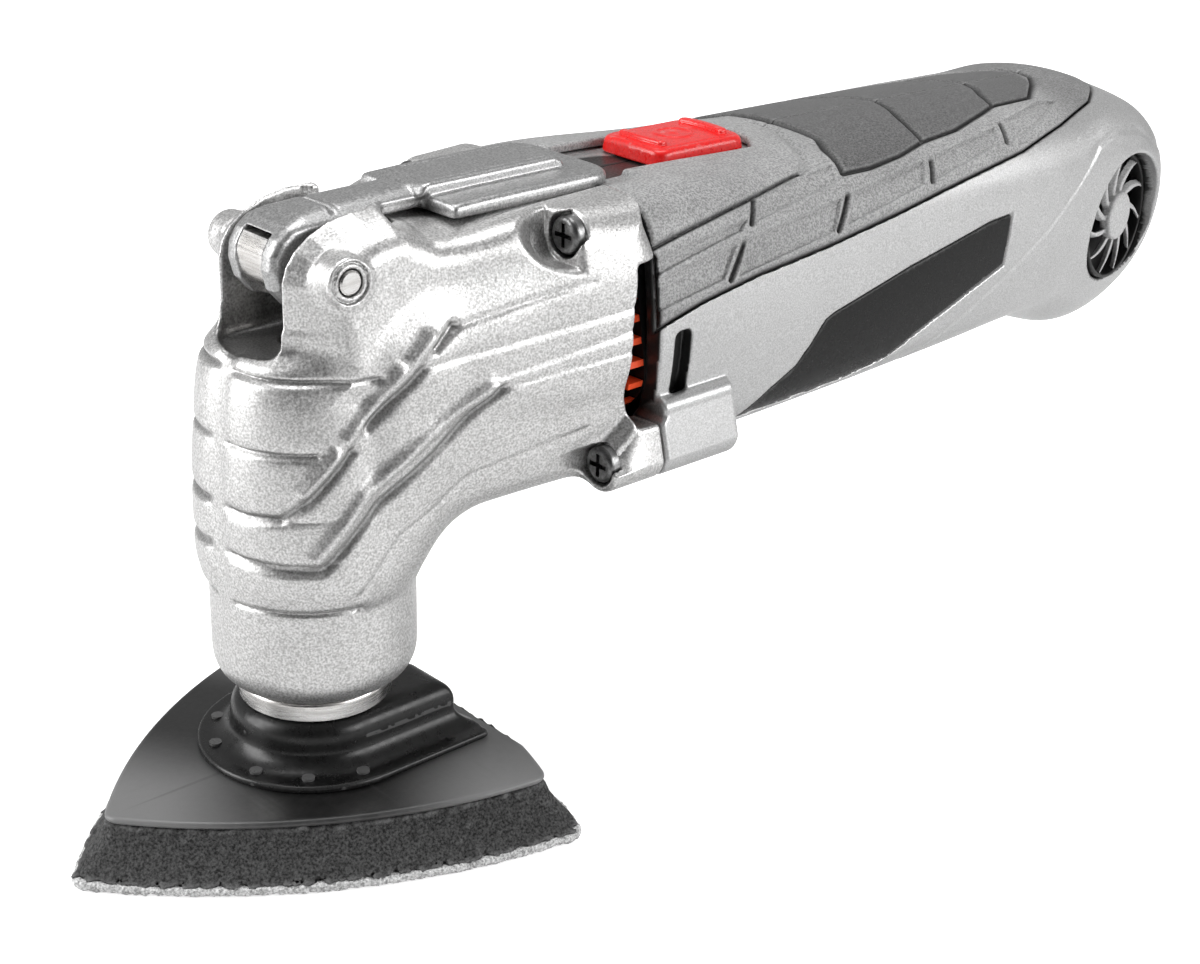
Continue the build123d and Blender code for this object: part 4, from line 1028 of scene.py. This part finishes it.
def baffle_look():
    """Red-orange bars at the front, and painted shade: black behind them and above them."""
    look = Look("baffle_red")
    speck = look.noise(0.5)
    red = look.mix(speck, (0.75, 0.04, 0.01, 1), (1.0, 0.13, 0.03, 1))
    # painted shade: black where the outlet behind and above the bars lies in shadow
    split = look.node("ShaderNodeSeparateXYZ")
    look.feed(split.inputs[0], look.place)
    painted_shade_behind = look.spread(split.outputs["X"], 0.0, 1.0, 0.0579, 0.0580)
    above = look.spread(split.outputs["Z"], 0.0, 1.0, 0.0935, 0.0936)
    painted_shade_behind = look.maths("MAXIMUM", painted_shade_behind, above)
    look.relief(speck, 0.03)
    return look.finish(look.mix(painted_shade_behind, red, grey(0.006)), 0.0, 0.4)


def grip_look():
    """Speckled soft plastic: light rows at the sides, dark pads on top."""
    look = Look("grip_grey")
    speck = look.spread(look.noise(0.42, 2.0, 0.6), 0.0, 1.0, 0.36, 0.64)
    side = look.mix(speck, grey(0.20), grey(0.46))
    pad = look.mix(speck, grey(0.045), grey(0.17))
    colour = look.mix(look.shade("pad"), side, pad)
    colour = look.mix(look.spread(look.noise(16.0, 3.0), 0.0, 0.25, 0.35, 0.7), colour, grey(0.10))
    colour = look.mix(look.maths("MULTIPLY", look.edges(), 0.15), colour, grey(0.75))
    # painted shade in the grooves, along the grip's edge and on its front face
    colour = look.mix(look.shade("groove_and_painted_shade"), colour, grey(0.008))
    look.relief(look.noise(0.42, 2.0, 0.6), 0.05)
    return look.finish(colour, 0.0, look.spread(speck, 0.40, 0.56))


def plain_name(material):
    """A material's name without the number that Blender may put after it."""
    return material.name.split(".")[0]


LOOKS = {plain_name(look): look for look in (
    sparkle("cast_silver", grey(0.42, 0.004), grey(0.80, 0.004), 0.85, 0.36, 0.40, 0.035, "groove_and_painted_shade"),
    sparkle("lever_silver", grey(0.30), grey(0.56), 0.88, 0.36, 0.36, 0.03),
    sparkle("shell_silver", grey(0.44), grey(0.64), 0.70, 0.36, 0.30, 0.015, "groove_and_painted_shade", 0.06),
    grip_look(),
    plastic("panel_black", grey(0.001), grey(0.004), 0.26, 0.8, 0.004, shine=0.22),
    plastic("switch_red", (0.66, 0.004, 0.004, 1), (0.86, 0.012, 0.01, 1), 0.30, 0.5, 0.02, coat=0.2),
    plastic("hub_black", grey(0.004), grey(0.008), 0.30, 0.6, 0.004, shine=0.4),
    # the plate's painted sheen takes its black towards grey(0.17)
    plastic("plate_black", grey(0.006), grey(0.012), 0.34, 0.5, 0.01, "painted_sheen", grey(0.17)),
    plastic("foam_charcoal", grey(0.004), grey(0.085), 0.9, 0.5, 0.30),
    plastic("hook_grey", grey(0.24), grey(0.85), 0.95, 0.5, 0.3),
    plastic("grille_grey", grey(0.34), grey(0.58), 0.42, 0.4, 0.02, "groove_and_painted_shade", grey(0.003)),
    machined("dark_steel", grey(0.20), grey(0.04), 0.32, (1, 1, 1), 0.6),
    machined("bearing_steel", grey(0.62), grey(0.4), 0.2, (0.05, 0.05, 1)),
    machined("bright_steel", grey(0.70, 0.015), grey(0.34, 0.02), 0.24, (0.04, 0.04, 1), 0.35),
    baffle_look(),
    machined("plate_aluminium", grey(0.6), grey(0.45), 0.34, (0.1, 1, 1), 0.5),
    machined("copper_winding", (0.75, 0.27, 0.10, 1), (0.35, 0.10, 0.03, 1), 0.36, (1, 0.1, 1), 0.6),
    machined("commutator_brass", (0.75, 0.42, 0.2, 1), (0.4, 0.2, 0.08, 1), 0.3),
    plastic("carbon", grey(0.012), grey(0.04), 0.55, 0.5, 0.02),
    plastic("inner_plastic", grey(0.02), grey(0.05), 0.5, 0.6, 0.03),
    plastic("capacitor_yellow", (0.6, 0.34, 0.03, 1), (0.78, 0.5, 0.06, 1), 0.4, 0.6, 0.02),
    plastic("cord_rubber", grey(0.008), grey(0.022), 0.55, 0.6, 0.05),
)}

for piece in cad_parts.values():
    for n, held in enumerate(piece.data.materials):
        if held and plain_name(held) in LOOKS:
            piece.data.materials[n] = LOOKS[plain_name(held)]

for node, look in (("hub_rivets", "hub_black"), ("drive_pins", "bearing_steel")):
    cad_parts[node].data.materials[0] = LOOKS[look]


# ---------------------------------------------------------------- pieces
def head_painted_shade(x, y, z):
    """Painted shade: in the grooves, on the floor of the lever's slot and inside the casting."""
    _, groove_and_painted_shade = head_marks(x, y, z)
    # painted shade, darker towards the floor of the well between the ears
    well_painted_shade = ease((FLOOR_Z + 6 - z) / 4.0) * (np.abs(y) < 12) * (np.hypot(x, y) < 15.4) * (z > 66)
    solid = head_solid(x, y, z)
    # painted shade: black on the casting's inside faces
    inside = (solid < -2.8) & (z < 88) & (upper_pocket(x, y, z) > 1) & ((x > 16) | (z < 66))
    return np.maximum(np.maximum(0.54 * groove_and_painted_shade * (solid > -1.6), 0.50 * well_painted_shade), 0.95 * inside)


def grip_painted_shade(x, y, z):
    """Painted shade in the grooves, along the edge of the grips and on their front face."""
    _, groove_and_painted_shade, _ = grip_marks(x, wrap(x, y, z))
    front = (x < front_edge(y, z) + 0.4) & (handle(x, y, z) < -0.5)
    return np.maximum(np.clip(groove_and_painted_shade * 1.1 + 0.8 * ridge(grip_depth(x, y, z), 0.5), 0, 1), front)


def grip_pad(x, y, z):
    """The darker pads along the top."""
    v = wrap(x, y, z)
    tip = ease((x - 186.0) / 12.0)
    return np.maximum(ease(0.5 - polygon(x, v, PAD_ZONE) / 1.5), 0.6 * tip)


def shell_painted_shade(x, y, z):
    """Painted shade: a dark line round the grips, and black on the shell's inside, on its front face by the
    outlets, in the slot and in the intake wells.
    """
    zone = grip_depth(x, y, z)
    base = handle(x, y, z)
    r, height, _, _ = intake_axes(x, y, z)
    inside = (base < -2.5) | ((x < front_edge(y, z) + 0.5) & (base < -0.7) & (z > 47))
    inside |= (side_slot(x, y, z, base) < 0.4) & (base < -0.5)
    inside |= (r < INTAKE_R + 0.6) & (height < -1.0)
    return np.maximum(0.9 * ridge(zone, 0.6), 0.97 * inside)


def plate_painted_sheen(x, y, _):
    """Painted sheen: grey towards the pad's corners, black by the middle of its sides."""
    along = 0.866 * x + 0.5 * np.abs(y)
    return ease((np.abs(along) - 7.0) / 26.0)


def grille_painted_shade(x, y, z):
    """Painted shade: the ring and the disc behind the vanes black, the vanes and hub grey."""
    r, height, _, _ = intake_axes(x, y, z)
    return np.where((r > INTAKE_R - 1.3) | (height < -5.4), 1.0, 0.0)


# name, field, corners of its box, net step, share of faces kept, shades, body, look, CAD node
PIECES = [
    ("gear_head", head, (-24, -37, 2), (58, 37, 97), 0.45, 0.30, {"groove_and_painted_shade": head_painted_shade},
     "housing", "cast_silver", "gear_head_casting"),
    ("clamp_lever_arm", lever, (-13, -16, 75), (63, 16, 98), 0.34, 0.4, {},
     "lever", "lever_silver", "clamp_lever"),
    ("housing_shell_left", housing, (56, -38, 28), (241, 1, 94), 0.5, 0.30, {"groove_and_painted_shade": shell_painted_shade},
     "housing", "shell_silver", "housing_left"),
    ("soft_grip_left", grip, (56, -35, 50), (220, 1, 94), 0.42, 0.42,
     {"groove_and_painted_shade": grip_painted_shade, "pad": grip_pad}, "housing", "grip_grey", "grip_left"),
    ("side_badge_left", badge, (80, -35, 38), (166, -12, 72), 0.4, 0.5, {},
     "housing", "panel_black", "side_panel_left"),
    ("intake_left", grille, (195, -34, 42), (228, -16, 75), 0.3, 0.6, {"groove_and_painted_shade": grille_painted_shade},
     "housing", "grille_grey", "intake_grille_left"),
    ("switch_button", switch_cap, (76, -10, 88), (103, 10, 94), 0.2, 0.5, {},
     "switch", "switch_red", "switch_cap"),
    ("foam_layer", foam, (-55, -49, HOOK_TOP - 1), (29, 49, FOAM_TOP + 1), 0.6, 0.7, {},
     "spindle", "foam_charcoal", "pad_foam"),
    ("hook_pile", hook, (-56, -50, PAD_BOTTOM - 1), (31, 50, HOOK_TOP + 1), 0.5, 0.6, {},
     "spindle", "hook_grey", "hook_layer"),
    ("backing_plate", plate, (-49, -44, FOAM_TOP - 1), (27, 44, PLATE_TOP + 1), 0.45, 0.5,
     {"painted_sheen": plate_painted_sheen}, "spindle", "plate_black", "pad_plate"),
    ("hub_cup", hub, (-24, -24, PLATE_TOP - 1), (26, 24, 1), 0.3, 0.5, {},
     "spindle", "hub_black", "pad_hub"),
    ("bend_guard", sleeve, (229, -9, CORD_Z - 9), (252.5, 9, CORD_Z + 9), 0.25, 0.5, {},
     "housing", "cord_rubber", "cord_sleeve"),
]
for name, field, low, high, step, share, shades, body, look, node in PIECES:
    shape = Shape(field, low, high, step, share, shades)
    show(name, shape, body, look, node)
    if name.endswith("_left"):
        show(name.replace("_left", "_right"), shape.mirrored(), body, look, node.replace("_left", "_right"))

# ---------------------------------------------------------------- floor, lights and camera
FLOOR_REACH = 6.0            # metres each way
FLOOR_DROP = 0.0004
FLOOR_GLOW = 0.75            # seen by the camera only, for a white background
floor_mesh = bpy.data.meshes.new("floor")
floor_mesh.from_pydata([(-FLOOR_REACH, -FLOOR_REACH, 0), (FLOOR_REACH, -FLOOR_REACH, 0),
                        (FLOOR_REACH, FLOOR_REACH, 0), (-FLOOR_REACH, FLOOR_REACH, 0)], [], [(0, 1, 2, 3)])
floor = bpy.data.objects.new("floor", floor_mesh)
floor.location.z = -FLOOR_DROP
bpy.context.scene.collection.objects.link(floor)
floor_look = Look("floor_paper")
floor_tone = floor_look.mix(floor_look.noise(40.0, 2.0), grey(0.80), grey(0.84))
seen = floor_look.node("ShaderNodeLightPath").outputs["Is Camera Ray"]
glow = floor_look.maths("MULTIPLY", seen, FLOOR_GLOW)
floor_mesh.materials.append(floor_look.finish(floor_tone, 0.0, 0.9, emission_color=grey(1.0),
                                              emission_strength=glow))


def studio_world(facing):
    """Even light that is brightest to both sides of the camera and dim behind it."""
    world = bpy.data.worlds.new("studio")
    world.use_nodes = True
    tree = world.node_tree
    place = tree.nodes.new("ShaderNodeTexCoord")
    toward = tree.nodes.new("ShaderNodeVectorMath")
    toward.operation = "DOT_PRODUCT"
    tree.links.new(place.outputs["Generated"], toward.inputs[0])
    toward.inputs[1].default_value = facing
    ramp = tree.nodes.new("ShaderNodeValToRGB")
    tree.links.new(toward.outputs["Value"], ramp.inputs["Fac"])
    stops = ramp.color_ramp.elements
    stops[0].position = 0.0
    stops[0].color = grey(0.85)
    stops[1].position = 0.98
    stops[1].color = grey(0.10)
    middle_stop = stops.new(0.55)
    middle_stop.color = grey(0.75)
    tree.links.new(ramp.outputs["Color"], tree.nodes["Background"].inputs["Color"])
    tree.nodes["Background"].inputs["Strength"].default_value = 0.5
    return world


bpy.context.scene.world = studio_world((-0.62, -0.68, 0.40))


def softbox(name, place, target, size, power):
    """A flat lamp turned towards the target."""
    light = bpy.data.lights.new(name, "AREA")
    light.shape = "RECTANGLE"
    light.size, light.size_y = size
    light.energy = power
    lamp = bpy.data.objects.new(name, light)
    lamp.location = place
    aim = Vector(target) - Vector(place)
    lamp.rotation_euler = aim.to_track_quat("-Z", "Y").to_euler()
    bpy.context.scene.collection.objects.link(lamp)


middle = (0.09, 0.0, 0.07)
softbox("left", (-0.75, 0.45, 0.45), middle, (0.5, 0.8), 9)
softbox("right", (0.55, -0.95, 0.45), middle, (0.9, 0.5), 8)
softbox("above", (0.1, 0.1, 1.0), middle, (0.7, 0.35), 5)

# Camera: lens, and axes worked out from its bearing, its dip and a slight roll
BEARING = math.radians(42.564)
DIP = math.radians(23.451)
ROLL = math.radians(1.22)
CAMERA_PLACE = Vector((-0.20866, -0.30552, 0.20175 + CLAMP_FACE / 1000))
forward = Vector((math.sin(BEARING) * math.cos(DIP), math.cos(BEARING) * math.cos(DIP), -math.sin(DIP)))
level_right = Vector((math.cos(BEARING), -math.sin(BEARING), 0))
level_up = level_right.cross(forward)
right = math.cos(ROLL) * level_right + math.sin(ROLL) * level_up
up = math.cos(ROLL) * level_up - math.sin(ROLL) * level_right
lens = bpy.data.cameras.new("camera")
lens.lens = 65.97
lens.sensor_width = 36.0
lens.clip_start = 0.01
camera = bpy.data.objects.new("camera", lens)
camera.matrix_world = Matrix((
    (right.x, up.x, -forward.x, CAMERA_PLACE.x),
    (right.y, up.y, -forward.y, CAMERA_PLACE.y),
    (right.z, up.z, -forward.z, CAMERA_PLACE.z),
    (0, 0, 0, 1),
))
bpy.context.scene.collection.objects.link(camera)
bpy.context.scene.camera = camera
bpy.context.scene.view_settings.view_transform = "Standard"
